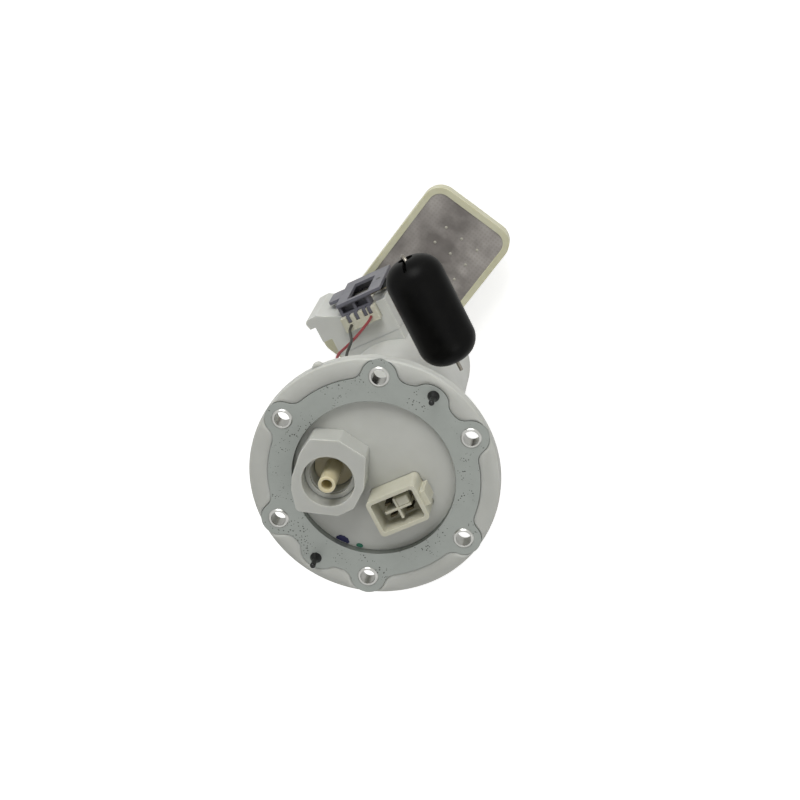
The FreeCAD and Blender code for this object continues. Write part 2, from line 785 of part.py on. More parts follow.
def make_outlet():
    """The ivory outlet tube on its foot inside the port."""
    foot_top = "dim.port_floor + dim.stub_foot_height"
    tube = port_hole("stub_tube", "dim.stub_radius", "dim.port_floor", "dim.stub_top")
    foot = port_hole("stub_foot", "dim.stub_foot_radius", "dim.port_floor", foot_top)
    bore = port_hole("stub_bore", "dim.stub_bore", "dim.port_floor - 1", "dim.stub_top + 1")
    keep("outlet_stub", cut("stub", fuse("stub_solid", tube, foot), bore))
    low = "(dim.port_top - dim.port_bore_depth)"
    high = low + " + dim.port_ring_height"
    ring = port_hole("port_ring_disc", "dim.port_bore - dim.seal_gap", low, high)
    mouth = port_hole("port_ring_mouth", "dim.port_step_bore + dim.seal_gap", low + " - 1", high + " + 1")
    keep("port_ring", cut("port_ring_cut", ring, mouth))


def make_housing():
    """The filter housing: plug, cone, bulkhead with its spigot, pad and regulator cup."""
    plug_top = "(%s + dim.plug_depth)" % NECK_END
    wall = "dim.housing_wall"
    profile = [
        (PLUG_RADIUS, NECK_END),
        ("dim.neck_radius", NECK_END),
        ("dim.housing_radius", CONE_END),
        ("dim.housing_foot_radius", HOUSING_END),
        ("0", HOUSING_END),
        ("0", CONE_END),
        ("dim.housing_radius - %s" % wall, CONE_END),
        ("%s - %s" % (PLUG_RADIUS, wall), NECK_END),
        ("%s - %s" % (PLUG_RADIUS, wall), plug_top),
        (PLUG_RADIUS, plug_top),
    ]
    shell = turned("housing_shell", profile)
    pad = block(
        "sender_pad", ("-dim.bracket_left", "dim.bracket_right"), ("15", "dim.pad_face"), (PAD_LOW, PAD_TOP)
    )
    pad_turned = doc.addObject("Part::Compound", "sender_pad_turned")
    pad_turned.Links = [pad]
    place(pad_turned, angle="dim.sender_angle")
    cup = cylinder("regulator_cup", CUP_RADIUS, REGULATOR_END, CUP_TOP, "dim.regulator_out")
    web = block("regulator_web", ("15", "dim.regulator_out"), ("-4", "4"), (REGULATOR_END, CUP_TOP))
    side = fuse("regulator_side", cup, web)
    place(side, angle="dim.regulator_angle")
    spigot_low = CONE_END + " - 1"
    spigot = port_hole("spigot", "dim.spigot_radius", spigot_low, SPIGOT_TOP)
    solid = fuse("housing_solid", shell, pad_turned, side, spigot)
    inside = cone(
        "housing_inside",
        "dim.housing_foot_radius - %s" % wall,
        "dim.housing_radius - %s" % wall,
        HOUSING_END,
        BULKHEAD_END,
    )
    open_end = cylinder(
        "housing_open_end", "dim.housing_foot_radius - %s" % wall, HOUSING_END + " - 5", HOUSING_END
    )
    bore = port_hole("spigot_hole", "dim.spigot_bore", BULKHEAD_END + " - 1", SPIGOT_TOP + " + 1")
    groove_low = "(%s - dim.spigot_overlap / 2)" % SPIGOT_TOP
    groove_high = "(%s + dim.spigot_seal_height)" % groove_low
    groove_disc = port_hole("spigot_groove_disc", "dim.spigot_radius + 1", groove_low, groove_high)
    groove_core = port_hole("spigot_groove_core", SPIGOT_CORE, groove_low + " - 1", groove_high + " + 1")
    groove = cut("spigot_groove", groove_disc, groove_core)
    seat = cylinder(
        "regulator_seat",
        "dim.regulator_radius + dim.fit_gap",
        REGULATOR_END + " - 1",
        REGULATOR_TOP,
        "dim.regulator_out",
    )
    riser = cylinder(
        "regulator_riser", "dim.regulator_passage", REGULATOR_TOP + " - 1", PASSAGE, "dim.regulator_out"
    )
    passage = doc.addObject("Part::Cylinder", "regulator_passage")
    bind(passage, Radius="dim.regulator_passage", Height="dim.regulator_out - 20 + dim.regulator_passage")
    passage.Placement = FreeCAD.Placement(
        FreeCAD.Vector(), FreeCAD.Rotation(FreeCAD.Vector(0, 1, 0), 90)
    )
    passage.setExpression("Placement.Base.x", "20")
    passage.setExpression("Placement.Base.z", PASSAGE)
    ways = place(fuse("regulator_ways", seat, riser, passage), angle="dim.regulator_angle")
    keep("filter_housing", cut("housing", solid, inside, open_end, bore, groove, ways))
    ring = port_hole(
        "spigot_ring",
        "dim.spigot_radius + dim.fit_gap",
        groove_low,
        groove_low + " + dim.spigot_seal_width",
    )
    keep(
        "spigot_seal",
        cut(
            "spigot_seal_cut",
            ring,
            port_hole("spigot_ring_hole", SPIGOT_CORE, groove_low + " - 1", groove_high),
        ),
    )


def inlet(name, radius, low, high):
    """An upright cylinder on the axis of the pump's inlet."""
    x, y = at_radius("dim.inlet_offset", value("dim.strainer_angle") + 90)
    return cylinder(name, radius, low, high, x, y)


def make_cap():
    """The bottom cap, which plugs into the housing, and the pump's lower cushion."""
    skirt_radius = "(dim.housing_foot_radius - dim.housing_wall - dim.fit_gap)"
    disc = cylinder("cap_disc", "dim.housing_foot_radius", CAP_END, HOUSING_END)
    skirt = cylinder("cap_skirt", skirt_radius, CAP_END, SKIRT_TOP)
    hollow = cylinder("cap_hollow", skirt_radius + " - dim.cap_skirt_wall", HOUSING_END, SKIRT_TOP + " + 1")
    hole = inlet("cap_hole", "dim.inlet_radius + dim.fit_gap", CAP_END + " - 1", HOUSING_END + " + 1")
    keep("lower_cap", cut("cap", fuse("cap_solid", disc, skirt), hollow, hole))
    cushion = cylinder(
        "cushion", skirt_radius + " - dim.cap_skirt_wall - dim.fit_gap", HOUSING_END, CUSHION_TOP
    )
    way = inlet("cushion_hole", "dim.inlet_radius + dim.fit_gap", HOUSING_END + " - 1", CUSHION_TOP + " + 1")
    keep("pump_cushion", cut("cushion_cut", cushion, way))
    upper = cylinder(
        "upper_cushion_disc", "dim.can_radius - 2", CAN_TOP + " + dim.cover_rim", ELEMENT_CAP_LOW
    )
    clear = cylinder("upper_cushion_hole", "dim.can_radius - 4.5", CAN_TOP, ELEMENT_CAP_LOW + " + 1")
    keep("upper_cushion", cut("upper_cushion_cut", upper, clear))


def make_element():
    """The pleated filter paper between its two end rings."""
    count = int(value("dim.pleat_count"))
    inner = value("dim.element_inner_radius")
    outer = value("dim.element_outer_radius")
    band = value("dim.element_band")
    low = value(ELEMENT_END)

    def star(valley, ridge):
        corners = []
        for index in range(2 * count):
            radius = ridge if index % 2 else valley
            angle = math.pi * index / count
            corners.append(FreeCAD.Vector(radius * math.cos(angle), radius * math.sin(angle), low))
        return Part.Face(Part.makePolygon(corners + corners[:1]))

    face = star(inner + band, outer).cut(star(inner, outer - band)).Faces[0]
    pleats = doc.addObject("Part::Feature", "pleats")
    pleats.Shape = face.extrude(FreeCAD.Vector(0, 0, value(ELEMENT_CAP_LOW) - low))
    keep("filter_element", pleats)
    rim = "dim.element_outer_radius + dim.fit_gap"
    disc = cylinder("element_cap", rim, ELEMENT_CAP_LOW, ELEMENT_CAP_TOP)
    stays = []
    for angle in ring_of_angles(3, 60.0):
        x, y = at_radius("(dim.element_outer_radius - 3)", angle)
        stays.append(cylinder("element_stay", "2", ELEMENT_CAP_TOP, BULKHEAD_END, x, y))
    keep("element_cap_upper", fuse("element_cap_solid", disc, *stays))
    ring = cylinder("element_ring", rim, SKIRT_TOP, ELEMENT_END)
    hole = cylinder(
        "element_ring_hole", "dim.can_radius + dim.fit_gap", SKIRT_TOP + " - 1", ELEMENT_END + " + 1"
    )
    keep("element_ring_lower", cut("element_ring_cut", ring, hole))


def make_pump_case():
    """The pump's can, end cover with its nipple, inlet cover and middle plate."""
    bore = "(dim.can_radius - dim.can_wall)"
    tube = cylinder("can_tube", "dim.can_radius", CAN_END, CAN_TOP)
    keep("pump_can", cut("can", tube, cylinder("can_bore", bore, CAN_END + " - 1", CAN_TOP + " + 1")))
    inset = bore + " - dim.press_gap"
    cover_low = "(%s - dim.end_cover_depth)" % CAN_TOP
    rim_top = "(%s + dim.cover_rim)" % CAN_TOP
    plug = cylinder("cover_plug", inset, cover_low, rim_top)
    rim = cylinder("cover_rim", "dim.can_radius", CAN_TOP, rim_top)
    nipple = nipple_part("cover_nipple", "dim.nipple_radius", CAN_TOP, NIPPLE_TOP)
    tools = [
        nipple_part("cover_chamber", "dim.nipple_bore", VALVE_SEAT, NIPPLE_TOP + " + 1"),
        nipple_part("cover_seat_hole", "dim.valve_hole", cover_low + " - 1", VALVE_SEAT + " + 1"),
        cylinder(
            "cover_bearing_hole",
            "dim.bearing_radius",
            cover_low + " - 1",
            cover_low + " + dim.bearing_length",
        ),
    ]
    for side in (-1, 1):
        tools.append(
            brush(
                "brush_pocket", side, "dim.press_gap", cover_low + " - 1", cover_low + " + dim.brush_pocket"
            ),
        )
    keep("pump_end_cover", cut("cover", fuse("cover_solid", plug, rim, nipple), *tools))
    inlet_top = "(%s + dim.inlet_cover_depth)" % CAN_END
    foot = "(%s - dim.cover_rim)" % CAN_END
    solid = fuse(
        "inlet_solid",
        cylinder("inlet_plug", inset, foot, inlet_top),
        cylinder("inlet_rim", "dim.can_radius", foot, CAN_END),
        inlet("inlet_tube", "dim.inlet_radius", INLET_END, CAN_END),
    )
    chamber = cylinder(
        "impeller_chamber", "dim.impeller_radius + dim.impeller_gap", CHAMBER_END, inlet_top + " + 1"
    )
    way = inlet("inlet_bore", "dim.inlet_bore", INLET_END + " - 1", CHAMBER_END + " + 1")
    keep("pump_inlet_cover", cut("inlet_cover", solid, chamber, way))
    plate = cylinder("middle_plate_disc", inset, inlet_top, MIDDLE_TOP)
    seat = cylinder("middle_plate_hole", "dim.bearing_radius", inlet_top + " + 0.5", MIDDLE_TOP + " + 1")
    clear = cylinder("middle_plate_clearance", "dim.shaft_radius + 0.5", inlet_top + " - 1", MIDDLE_TOP)
    port = nipple_part("middle_plate_port", "1.6", inlet_top + " - 1", MIDDLE_TOP + " + 1")
    keep("pump_middle_plate", cut("middle_plate", plate, seat, clear, port))
    lower = bearing(
        "lower_bearing", "%s + 0.5" % inlet_top, "%s + dim.bearing_length" % inlet_top
    )
    upper = bearing("upper_bearing", cover_low, cover_low + " + dim.bearing_length")
    keep("pump_bearings", group("bearings", [lower, upper]))
    brushes = [
        brush("brush", side, "0", COMMUTATOR_TOP + " + 0.1", cover_low + " + dim.brush_pocket")
        for side in (-1, 1)
    ]
    keep("brushes", group("brush_pair", brushes))


def nipple_part(name, radius, low, high):
    """A cylinder on the axis of the pump's outlet nipple."""
    return cylinder(name, radius, low, high, "-dim.nipple_offset", "0")


def bearing(name, low, high):
    """A plain bush for the pump shaft."""
    ring = cylinder(name + "_ring", "dim.bearing_radius", low, high)
    hole = cylinder(name + "_hole", "dim.shaft_radius + dim.shaft_gap", low + " - 1", high + " + 1")
    return cut(name, ring, hole)


def brush(name, side, growth, low, high):
    """One carbon brush, or the pocket that holds it."""
    reach = "%d * (dim.commutator_radius + dim.bearing_radius) / 2 * 1.05" % side
    half = "(dim.brush_width / 2 + %s)" % growth
    return block(
        name, ("-" + half, half), ("(%s) - %s" % (reach, half), "(%s) + %s" % (reach, half)), (low, high)
    )


def make_rotor():
    """The spinning parts of the pump: shaft, armature, commutator and impeller."""
    shaft_top = "(%s - dim.end_cover_depth + dim.bearing_length - 0.5)" % CAN_TOP
    impeller_low = "(%s + dim.impeller_gap)" % CHAMBER_END
    impeller_high = "(%s + dim.impeller_thickness)" % impeller_low
    keep("motor_shaft", cylinder("shaft", "dim.shaft_radius", impeller_low, shaft_top))
    armature_low = "(%s + dim.armature_rise)" % MIDDLE_TOP
    stack = cylinder("armature_stack", "dim.armature_radius", armature_low, ARMATURE_TOP)
    cuts = [cylinder("armature_bore", "dim.shaft_radius", armature_low + " - 1", ARMATURE_TOP + " + 1")]
    for angle in ring_of_angles(8):
        slot = block(
            "armature_slot",
            ("dim.armature_radius * 0.62", "dim.armature_radius + 1"),
            ("-1.1", "1.1"),
            (armature_low + " - 1", ARMATURE_TOP + " + 1"),
        )
        slot_turned = doc.addObject("Part::Compound", "armature_slot_turned")
        slot_turned.Links = [slot]
        cuts.append(place(slot_turned, angle="%.1f" % angle))
    keep("armature", cut("armature_cut", stack, *cuts))
    low = "(%s - dim.commutator_length)" % COMMUTATOR_TOP
    ring = cylinder("commutator_ring", "dim.commutator_radius", low, COMMUTATOR_TOP)
    hole = cylinder("commutator_hole", "dim.shaft_radius", low + " - 1", COMMUTATOR_TOP + " + 1")
    keep("commutator", cut("commutator_cut", ring, hole))
    disc = cylinder("impeller_disc", "dim.impeller_radius", impeller_low, impeller_high)
    cuts = [cylinder("impeller_bore", "dim.shaft_radius", impeller_low + " - 1", impeller_high + " + 1")]
    for angle in ring_of_angles(value("dim.vane_count")):
        gap = block(
            "vane_gap",
            ("dim.impeller_radius - dim.vane_depth", "dim.impeller_radius + 1"),
            ("-0.7", "0.7"),
            (impeller_low + " - 1", impeller_high + " + 1"),
        )
        gap_turned = doc.addObject("Part::Compound", "vane_gap_turned")
        gap_turned.Links = [gap]
        cuts.append(place(gap_turned, angle="%.1f" % angle))
    keep("impeller", cut("impeller_cut", disc, *cuts))
    magnets = []
    for start in (0, 180):
        outer = magnet_blank("magnet_blank", "dim.can_radius - dim.can_wall - dim.press_gap", "0", start)
        inner = magnet_blank("magnet_core", "dim.magnet_inner_radius", "1", start)
        magnets.append(cut("magnet", outer, inner))
    keep("magnets", group("magnet_pair", magnets))


def magnet_blank(name, radius, extra, start):
    """A sector of a cylinder that one magnet is cut from."""
    made = doc.addObject("Part::Cylinder", name)
    bind(made, Radius=radius, Height="dim.magnet_length + 2 * %s" % extra, Angle="dim.magnet_angle")
    return place(made, "0", "0", "%s - %s" % (MIDDLE_TOP, extra), "%d - dim.magnet_angle / 2" % start)


def make_check_valve():
    """The poppet on its seat in the pump's nipple, its spring, and the ring above."""
    lift = "(%s + dim.poppet_height)" % VALVE_SEAT
    poppet = nipple_part("poppet", "dim.poppet_radius", VALVE_SEAT, lift)
    keep("check_valve_poppet", poppet)
    stop = "(%s - dim.stop_ring_height)" % NIPPLE_TOP
    ring = nipple_part("stop_ring_disc", "dim.nipple_bore", stop, NIPPLE_TOP)
    hole = nipple_part("stop_ring_hole", "dim.nipple_bore - 1", stop + " - 1", NIPPLE_TOP + " + 1")
    keep("check_valve_ring", cut("stop_ring", ring, hole))
    wire = value("dim.spring_wire")
    base = value(lift) + wire
    rise = value(stop) - value(lift) - 2 * wire
    turns = value("dim.spring_turns")
    coil = Part.makeHelix(rise / turns, rise, value("dim.spring_radius"))
    coil.translate(FreeCAD.Vector(0, 0, base))
    start = coil.Vertexes[0].Point
    section = Part.Wire(Part.makeCircle(wire, start, FreeCAD.Vector(0, 1, 0)))
    spring = doc.addObject("Part::Feature", "spring")
    spring.Shape = Part.Wire(coil).makePipeShell([section], True, True)
    place(spring, "-dim.nipple_offset")
    keep("check_valve_spring", spring)


def make_regulator():
    """The pressure regulator in its cup, with its seal ring and its spring clip."""
    seal_low = "(%s - dim.regulator_seal_depth)" % REGULATOR_TOP
    seal_high = "(%s + dim.spigot_seal_width)" % seal_low
    core = "(dim.regulator_radius - 1)"
    profile = [
        ("dim.regulator_passage", REGULATOR_TOP),
        (core, REGULATOR_TOP),
        (core, seal_low),
        ("dim.regulator_radius", seal_low),
        ("dim.regulator_radius", REGULATOR_END),
        ("dim.regulator_passage", REGULATOR_END),
    ]
    body = turned("regulator_shell", profile)
    place(body, *at_radius("dim.regulator_out", value("dim.regulator_angle")))
    keep("regulator", body)
    ring = cylinder("regulator_seal_disc", "dim.regulator_radius + dim.fit_gap", seal_low, seal_high)
    hole = cylinder("regulator_seal_hole", core, seal_low + " - 1", seal_high + " + 1")
    seal = cut("regulator_seal_cut", ring, hole)
    place(seal, *at_radius("dim.regulator_out", value("dim.regulator_angle")))
    keep("regulator_seal", seal)
    foot = "(%s - dim.clip_thickness)" % REGULATOR_END
    side = "(%s + dim.press_gap)" % CUP_RADIUS
    outer = "(%s + dim.clip_thickness)" % side
    clip_span = ("dim.regulator_out - dim.clip_width / 2", "dim.regulator_out + dim.clip_width / 2")
    plate = block("clip_plate", clip_span, ("-" + outer, outer), (foot, REGULATOR_END))
    legs = []
    for low, high in (("-" + outer, "-" + side), (side, outer)):
        leg_top = "%s + dim.clip_height" % REGULATOR_END
        legs.append(block("clip_leg", clip_span, (low, high), (foot, leg_top)))
    mouth = cylinder(
        "clip_mouth",
        "dim.regulator_passage + 1",
        foot + " - 1",
        REGULATOR_END + " + 1",
        "dim.regulator_out",
    )
    clip = cut("clip", fuse("clip_solid", plate, *legs), mouth)
    keep("regulator_clip", place(clip, angle="dim.regulator_angle"))


def make_sender():
    """The level sender: bracket, housing, plug, card, hub, pivot and wiper."""
    make_sender_bracket()
    make_sender_housing()
    make_sender_contacts()
    make_arm_hub()


def make_sender_bracket():
    """The white bracket on the housing's pad: its ear, and the pocket for the plug."""
    left = "-dim.bracket_left"
    right = "dim.bracket_right"
    step = "(dim.pad_face + dim.bracket_step)"
    ear_low = "(%s + 0.5)" % SENDER_IN
    ear_top = "(%s + dim.ear_height)" % SENDER_IN
    nose = "(-dim.bracket_left - dim.ear_nose)"
    edge = "(-dim.sender_left - dim.fit_gap)"
    outline = [
        (left, "dim.pad_face"),
        (left, step),
        (left + " - dim.ear_reach", step),
        (left + " - dim.ear_reach", ear_low),
        (left + " - dim.ear_reach - 2.6", ear_low),
        (nose, ear_top),
        (left + " - 1.8", ear_top + " + 0.4"),
        (left + " + 1.4", ear_top + " - 1.4"),
        (edge + " - 1.5", SENDER_IN + " + 1.2"),
        (edge, SENDER_IN),
        (right, SENDER_IN),
        (right, "dim.pad_face"),
    ]
    bracket = padded("bracket", outline, PAD_LOW, PAD_TOP)
    ear_side = value(nose) + 1

    def ear_corner(edge_found):
        return upright(edge_found) and edge_found.BoundBox.XMax < ear_side

    rounded(bracket, "ear_rounds", "dim.ear_round", ear_corner)
    pocket = block(
        "bracket_pocket",
        (left + " + dim.bracket_wall", right + " - dim.bracket_wall"),
        ("dim.pad_face + dim.bracket_wall", SENDER_IN + " - dim.bracket_wall"),
        (PAD_LOW + " - 1", PLUG_LOW + " - dim.bracket_wall"),
    )
    seat = plug_block("plug_seat", "dim.fit_gap", PLUG_LOW, PAD_TOP + " + 1")
    whole = cut("bracket_cut", bracket, pocket, seat)
    keep("sender_bracket", place(whole, angle="dim.sender_angle"))


def make_sender_housing():
    """The grey housing: front plate with its window, box with bays, and prongs."""
    left = "-dim.sender_left"
    wall = "dim.sender_wall"
    inner_low = "(%s + %s)" % (SENDER_LOW, wall)
    case = fuse(
        "case_solid",
        block("case_plate", (left, SENDER_RIGHT), (PLATE_IN, SENDER_OUT), (SENDER_LOW, "dim.sender_top")),
        block("case_box", (left, BOX_RIGHT), (SENDER_IN, PLATE_IN), (SENDER_LOW, CASE_TOP)),
        *[prong("prong", place_x, "0") for place_x in PRONGS],
    )
    window_top = "dim.sender_top - dim.window_edge"
    tools = [
        block(
            "case_cavity",
            (left + " + " + wall, BOX_RIGHT + " + 1"),
            (SENDER_IN + " - 1", PLATE_IN),
            (inner_low, CAVITY_TOP),
        ),
        block(
            "case_window",
            ("dim.window_left", "dim.window_left + dim.window_width"),
            (PLATE_IN + " - 0.3", SENDER_OUT + " + 1"),
            (window_top + " - dim.window_height", window_top),
        ),
        pivot_cylinder(
            "case_pivot_hole", "dim.pivot_radius + dim.shaft_gap", PLATE_IN + " - 1", SENDER_OUT + " + 1"
        ),
    ]
    bay = "((dim.sender_box_width - (dim.bay_count + 1) * %s) / dim.bay_count)" % wall
    depth = (SENDER_IN + " + dim.bay_wall", PLATE_IN + " - dim.bay_skin")
    for index in range(int(value("dim.bay_count"))):
        low = "(%s + %s + %d * (%s + %s))" % (left, wall, index, bay, wall)
        span = (low, "%s + %s" % (low, bay))
        tools.append(block("case_bay", span, depth, (CASE_TOP + " - dim.bay_depth", CASE_TOP + " + 1")))
    keep("sender_housing", place(cut("case", case, *tools), angle="dim.sender_angle"))


def make_sender_contacts():
    """The ivory plug on the prongs, and the ceramic card in the housing."""
    plug_tools = [prong("prong_slot", place_x, "dim.fit_gap") for place_x in PRONGS]
    for lead_x in (BLACK_X, RED_X):
        plug_tools.append(
            cylinder("lead_hole", LEAD_HOLE, PLUG_LOW + " + 2", PLUG_TOP + " + 1", lead_x, LEAD_Y)
        )
    plug = cut("plug", plug_block("plug_solid", "0", PLUG_LOW, PLUG_TOP), *plug_tools)
    keep("sender_plug", place(plug, angle="dim.sender_angle"))
    inset = "dim.sender_wall + dim.fit_gap"
    card = block(
        "card",
        ("-dim.sender_left + " + inset, BOX_RIGHT + " - " + inset),
        (SENDER_IN, CARD_OUT),
        ("%s + %s" % (SENDER_LOW, inset), CAVITY_TOP + " - dim.fit_gap"),
    )
    card_turned = doc.addObject("Part::Compound", "card_turned")
    card_turned.Links = [card]
    keep("resistor_card", place(card_turned, angle="dim.sender_angle"))


def make_arm_hub():
    """The hub behind the front plate, its pivot pin and the wiper on the pin."""
    half = "dim.hub_radius * 0.6"
    clip = block(
        "hub_clip",
        ("dim.pivot_along", "dim.pivot_along + dim.hub_reach"),
        (HUB_IN, HUB_OUT),
        ("dim.pivot_level - " + half, "dim.pivot_level + " + half),
    )
    blade_in = "(%s + dim.hub_gap)" % CARD_OUT
    blade_out = "(%s + dim.wiper_thickness)" % blade_in
    disc = pivot_cylinder("hub_disc", "dim.hub_radius", HUB_IN, HUB_OUT)
    pin = pivot_cylinder("hub_pin", "dim.pivot_radius", blade_in, SENDER_OUT)
    hub = cut("hub", fuse("hub_solid", clip, disc, pin), wire_hole("hub_hole"))
    keep("arm_hub", place(hub, angle="dim.sender_angle"))
    washer = pivot_cylinder("wiper_washer", "dim.pivot_radius + 1", blade_in, blade_out)
    strip = block(
        "wiper_strip",
        ("dim.pivot_along - dim.wiper_length", "dim.pivot_along"),
        (blade_in, blade_out),
        ("dim.pivot_level - 1", "dim.pivot_level + 1"),
    )
    hole = pivot_cylinder("wiper_hole", "dim.pivot_radius", blade_in + " - 1", blade_out + " + 1")
    keep("wiper", place(cut("wiper_cut", fuse("wiper_solid", washer, strip), hole), angle="dim.sender_angle"))


def prong(name, along, growth):
    """One of the sender housing's prongs, or the slot in the plug that takes it."""
    half = "(dim.prong_width / 2 + %s)" % growth
    spread = ("%s - %s" % (along, half), "%s + %s" % (along, half))
    low = "%s - 2 - %s" % (CASE_TOP, growth)
    high = "%s - 0.8 + %s * 20" % (PLUG_TOP, growth)
    depth = ("%s - dim.prong_reach - %s" % (SENDER_IN, growth), SENDER_IN + " + 0.5")
    return block(name, spread, depth, (low, high))


def plug_block(name, growth, low, high):
    """The ivory plug's block, or the pocket in the bracket that holds it."""
    spread = ("-dim.plug_left - %s" % growth, "dim.plug_width - dim.plug_left + %s" % growth)
    depth = ("%s - dim.plug_depth_out - %s" % (SENDER_IN, growth), SENDER_IN)
    return block(name, spread, depth, (low, high))


def pivot_cylinder(name, radius, low, high):
    """A cylinder on the float arm's pivot, from y = low to y = high."""
    made = doc.addObject("Part::Cylinder", name)
    bind(made, Radius=radius, Height="%s - (%s)" % (high, low))
    made.Placement = FreeCAD.Placement(
        FreeCAD.Vector(), FreeCAD.Rotation(FreeCAD.Vector(1, 0, 0), -90)
    )
    made.setExpression("Placement.Base.x", "dim.pivot_along")
    made.setExpression("Placement.Base.y", low)
    made.setExpression("Placement.Base.z", "dim.pivot_level")
    return made


def wire_hole(name):
    """The hole along the hub's clip that the arm's wire is pushed into."""
    made = doc.addObject("Part::Cylinder", name)
    bind(made, Radius="dim.wire_radius", Height="dim.hub_reach")
    made.Placement = FreeCAD.Placement(
        FreeCAD.Vector(), FreeCAD.Rotation(FreeCAD.Vector(0, 1, 0), 90)
    )
    made.setExpression("Placement.Base.x", "dim.pivot_along + 3")
    made.setExpression("Placement.Base.y", WIRE_DEPTH)
    made.setExpression("Placement.Base.z", "dim.pivot_level")
    return made


def swept(name, corners, radius, bend=None):
    """A round bar along straight runs joined by tangent arcs."""
    points = [FreeCAD.Vector(*corner) for corner in corners]
    edges = []
    start = points[0]
    bends = []
    for before, corner, after in zip(points, points[1:], points[2:]):
        arriving = (corner - before).normalize()
        leaving = (after - corner).normalize()
        half = arriving.getAngle(leaving) / 2
        shorter = min((corner - before).Length, (after - corner).Length)
        size = bend or 0.45 * shorter / math.tan(half)
        reach = size * math.tan(half)
        first = corner - arriving * reach
        last = corner + leaving * reach
        inward = (leaving - arriving).normalize()
        middle = corner + inward * (size / math.cos(half) - size)
        edges.append(Part.LineSegment(start, first).toShape())
        edges.append(Part.Arc(first, middle, last).toShape())
        bends.append(round(size, 1))
        start = last
    edges.append(Part.LineSegment(start, points[-1]).toShape())
    path = Part.Wire(edges)
    heading = points[1] - points[0]
    section = Part.Wire(Part.makeCircle(radius, points[0], heading))
    made = doc.addObject("Part::Feature", name)
    made.Shape = path.makePipeShell([section], True, False)
    expected = math.pi * radius**2 * path.Length
    print(name, "length", round(path.Length, 1), "bend radii", bends)
    if abs(made.Shape.Volume - expected) > 0.01 * expected:
        raise ValueError("the swept bar %s has the wrong volume" % name)
    return made


def make_float():
    """The float and the bent wire arm that carries it."""
    level = value("dim.float_level")
    along = value("dim.float_along")
    pivot = value("dim.pivot_along")
    depth = value(WIRE_DEPTH)
    outer_end = value("dim.float_inner_end + dim.float_length + dim.arm_clearance")
    inner_end = value("dim.float_inner_end - dim.wire_stub")
    pivot_level = value("dim.pivot_level")
    corners = [
        (pivot + 3.1, depth, pivot_level),
        (value("dim.arm_foot"), depth, pivot_level),
        (along, outer_end, level),
        (along, inner_end, level),
    ]
    wire = swept("arm_wire", corners, value("dim.wire_radius"), value("dim.wire_bend"))
    keep("float_arm", place(wire, angle="dim.sender_angle"))
    half = "dim.float_length / 2"
    bore = "(dim.wire_radius + dim.float_bore_gap)"
    profile = [
        (bore, "-" + half),
        ("dim.float_radius", "-" + half),
        ("dim.float_radius", half),
        (bore, half),
    ]
    body = turned("float_body", profile)
    rounded(
        body,
        "float_rounds",
        "dim.float_round",
        lambda edge: edge.BoundBox.XLength > value("dim.float_radius"),
    )
    body.Placement = FreeCAD.Placement(FreeCAD.Vector(), FreeCAD.Rotation(FreeCAD.Vector(1, 0, 0), -90))
    body.setExpression("Placement.Base.x", "dim.float_along")
    body.setExpression("Placement.Base.y", "dim.float_inner_end + " + half)
    body.setExpression("Placement.Base.z", "dim.float_level")
    end = "dim.float_inner_end + dim.float_length"
    notch = block(
        "float_notch",
        ("dim.float_along - dim.float_notch_width / 2", "dim.float_along + dim.float_notch_width / 2"),
        (end + " - dim.float_notch_depth", end + " + 1"),
        ("dim.float_level", "dim.float_level + dim.float_radius + 1"),
    )
    recess = doc.addObject("Part::Cylinder", "float_recess")
    bind(recess, Radius="dim.float_recess_radius", Height="dim.float_recess_depth + 1")
    recess.Placement = FreeCAD.Placement(FreeCAD.Vector(), FreeCAD.Rotation(FreeCAD.Vector(1, 0, 0), -90))
    recess.setExpression("Placement.Base.x", "dim.float_along")
    recess.setExpression("Placement.Base.y", end + " - dim.float_recess_depth")
    recess.setExpression("Placement.Base.z", "dim.float_level")
    made = cut("float_cut", body, notch, recess)
    keep("float", place(made, angle="dim.sender_angle"))


def lead_points(start_x, way):
    """Corners of a lead: up out of the plug, by the given points, up into its terminal."""
    turn = math.radians(value("dim.sender_angle"))
    along = value(start_x)
    out = value(LEAD_Y)
    x = along * math.cos(turn) - out * math.sin(turn)
    y = along * math.sin(turn) + out * math.cos(turn)
    return [(x, y, value(PLUG_LOW) + 2), (x, y, value(PLUG_TOP) + 6)] + way


def make_leads():
    """The sender's two leads, and the terminals that they end in on the neck."""
    reach = value(TERMINAL_REACH)
    top = value(TERMINAL_TOP)
    terminals = []
    ends = []
    for angle in (value("dim.black_terminal_angle"), value("dim.red_terminal_angle")):
        turn = math.radians(angle)
        x = reach * math.cos(turn)
        y = reach * math.sin(turn)
        ends.append([(x, y, top - 14.0), (x, y, top - 2.0)])
        terminals.append(terminal("terminal", "%.3f" % angle))
    keep("lead_terminals", group("terminals", terminals))
    black_way = [(-19.2, 39.8, -54.0), (-20.2, 36.4, -42.0)] + ends[0]
    red_way = [(-20.7, 34.9, -68.0), (-25.0, 35.0, -45.0)] + ends[1]
    keep("sender_lead_black", swept("lead_black", lead_points(BLACK_X, black_way), value("dim.lead_radius")))
    keep("sender_lead_red", swept("lead_red", lead_points(RED_X, red_way), value("dim.lead_radius")))


def terminal(name, angle):
    """A barrel for a lead on a tab that passes through the neck."""
    barrel = cylinder(
        name + "_barrel", "dim.lead_radius + 0.6", TERMINAL_TOP + " - 7", TERMINAL_TOP, TERMINAL_REACH
    )
    tab = terminal_tab(name + "_tab", "0", TERMINAL_REACH)
    hole = cylinder(name + "_hole", LEAD_HOLE, TERMINAL_TOP + " - 8", TERMINAL_TOP + " - 2", TERMINAL_REACH)
    return place(cut(name, fuse(name + "_solid", barrel, tab), hole), angle=angle)


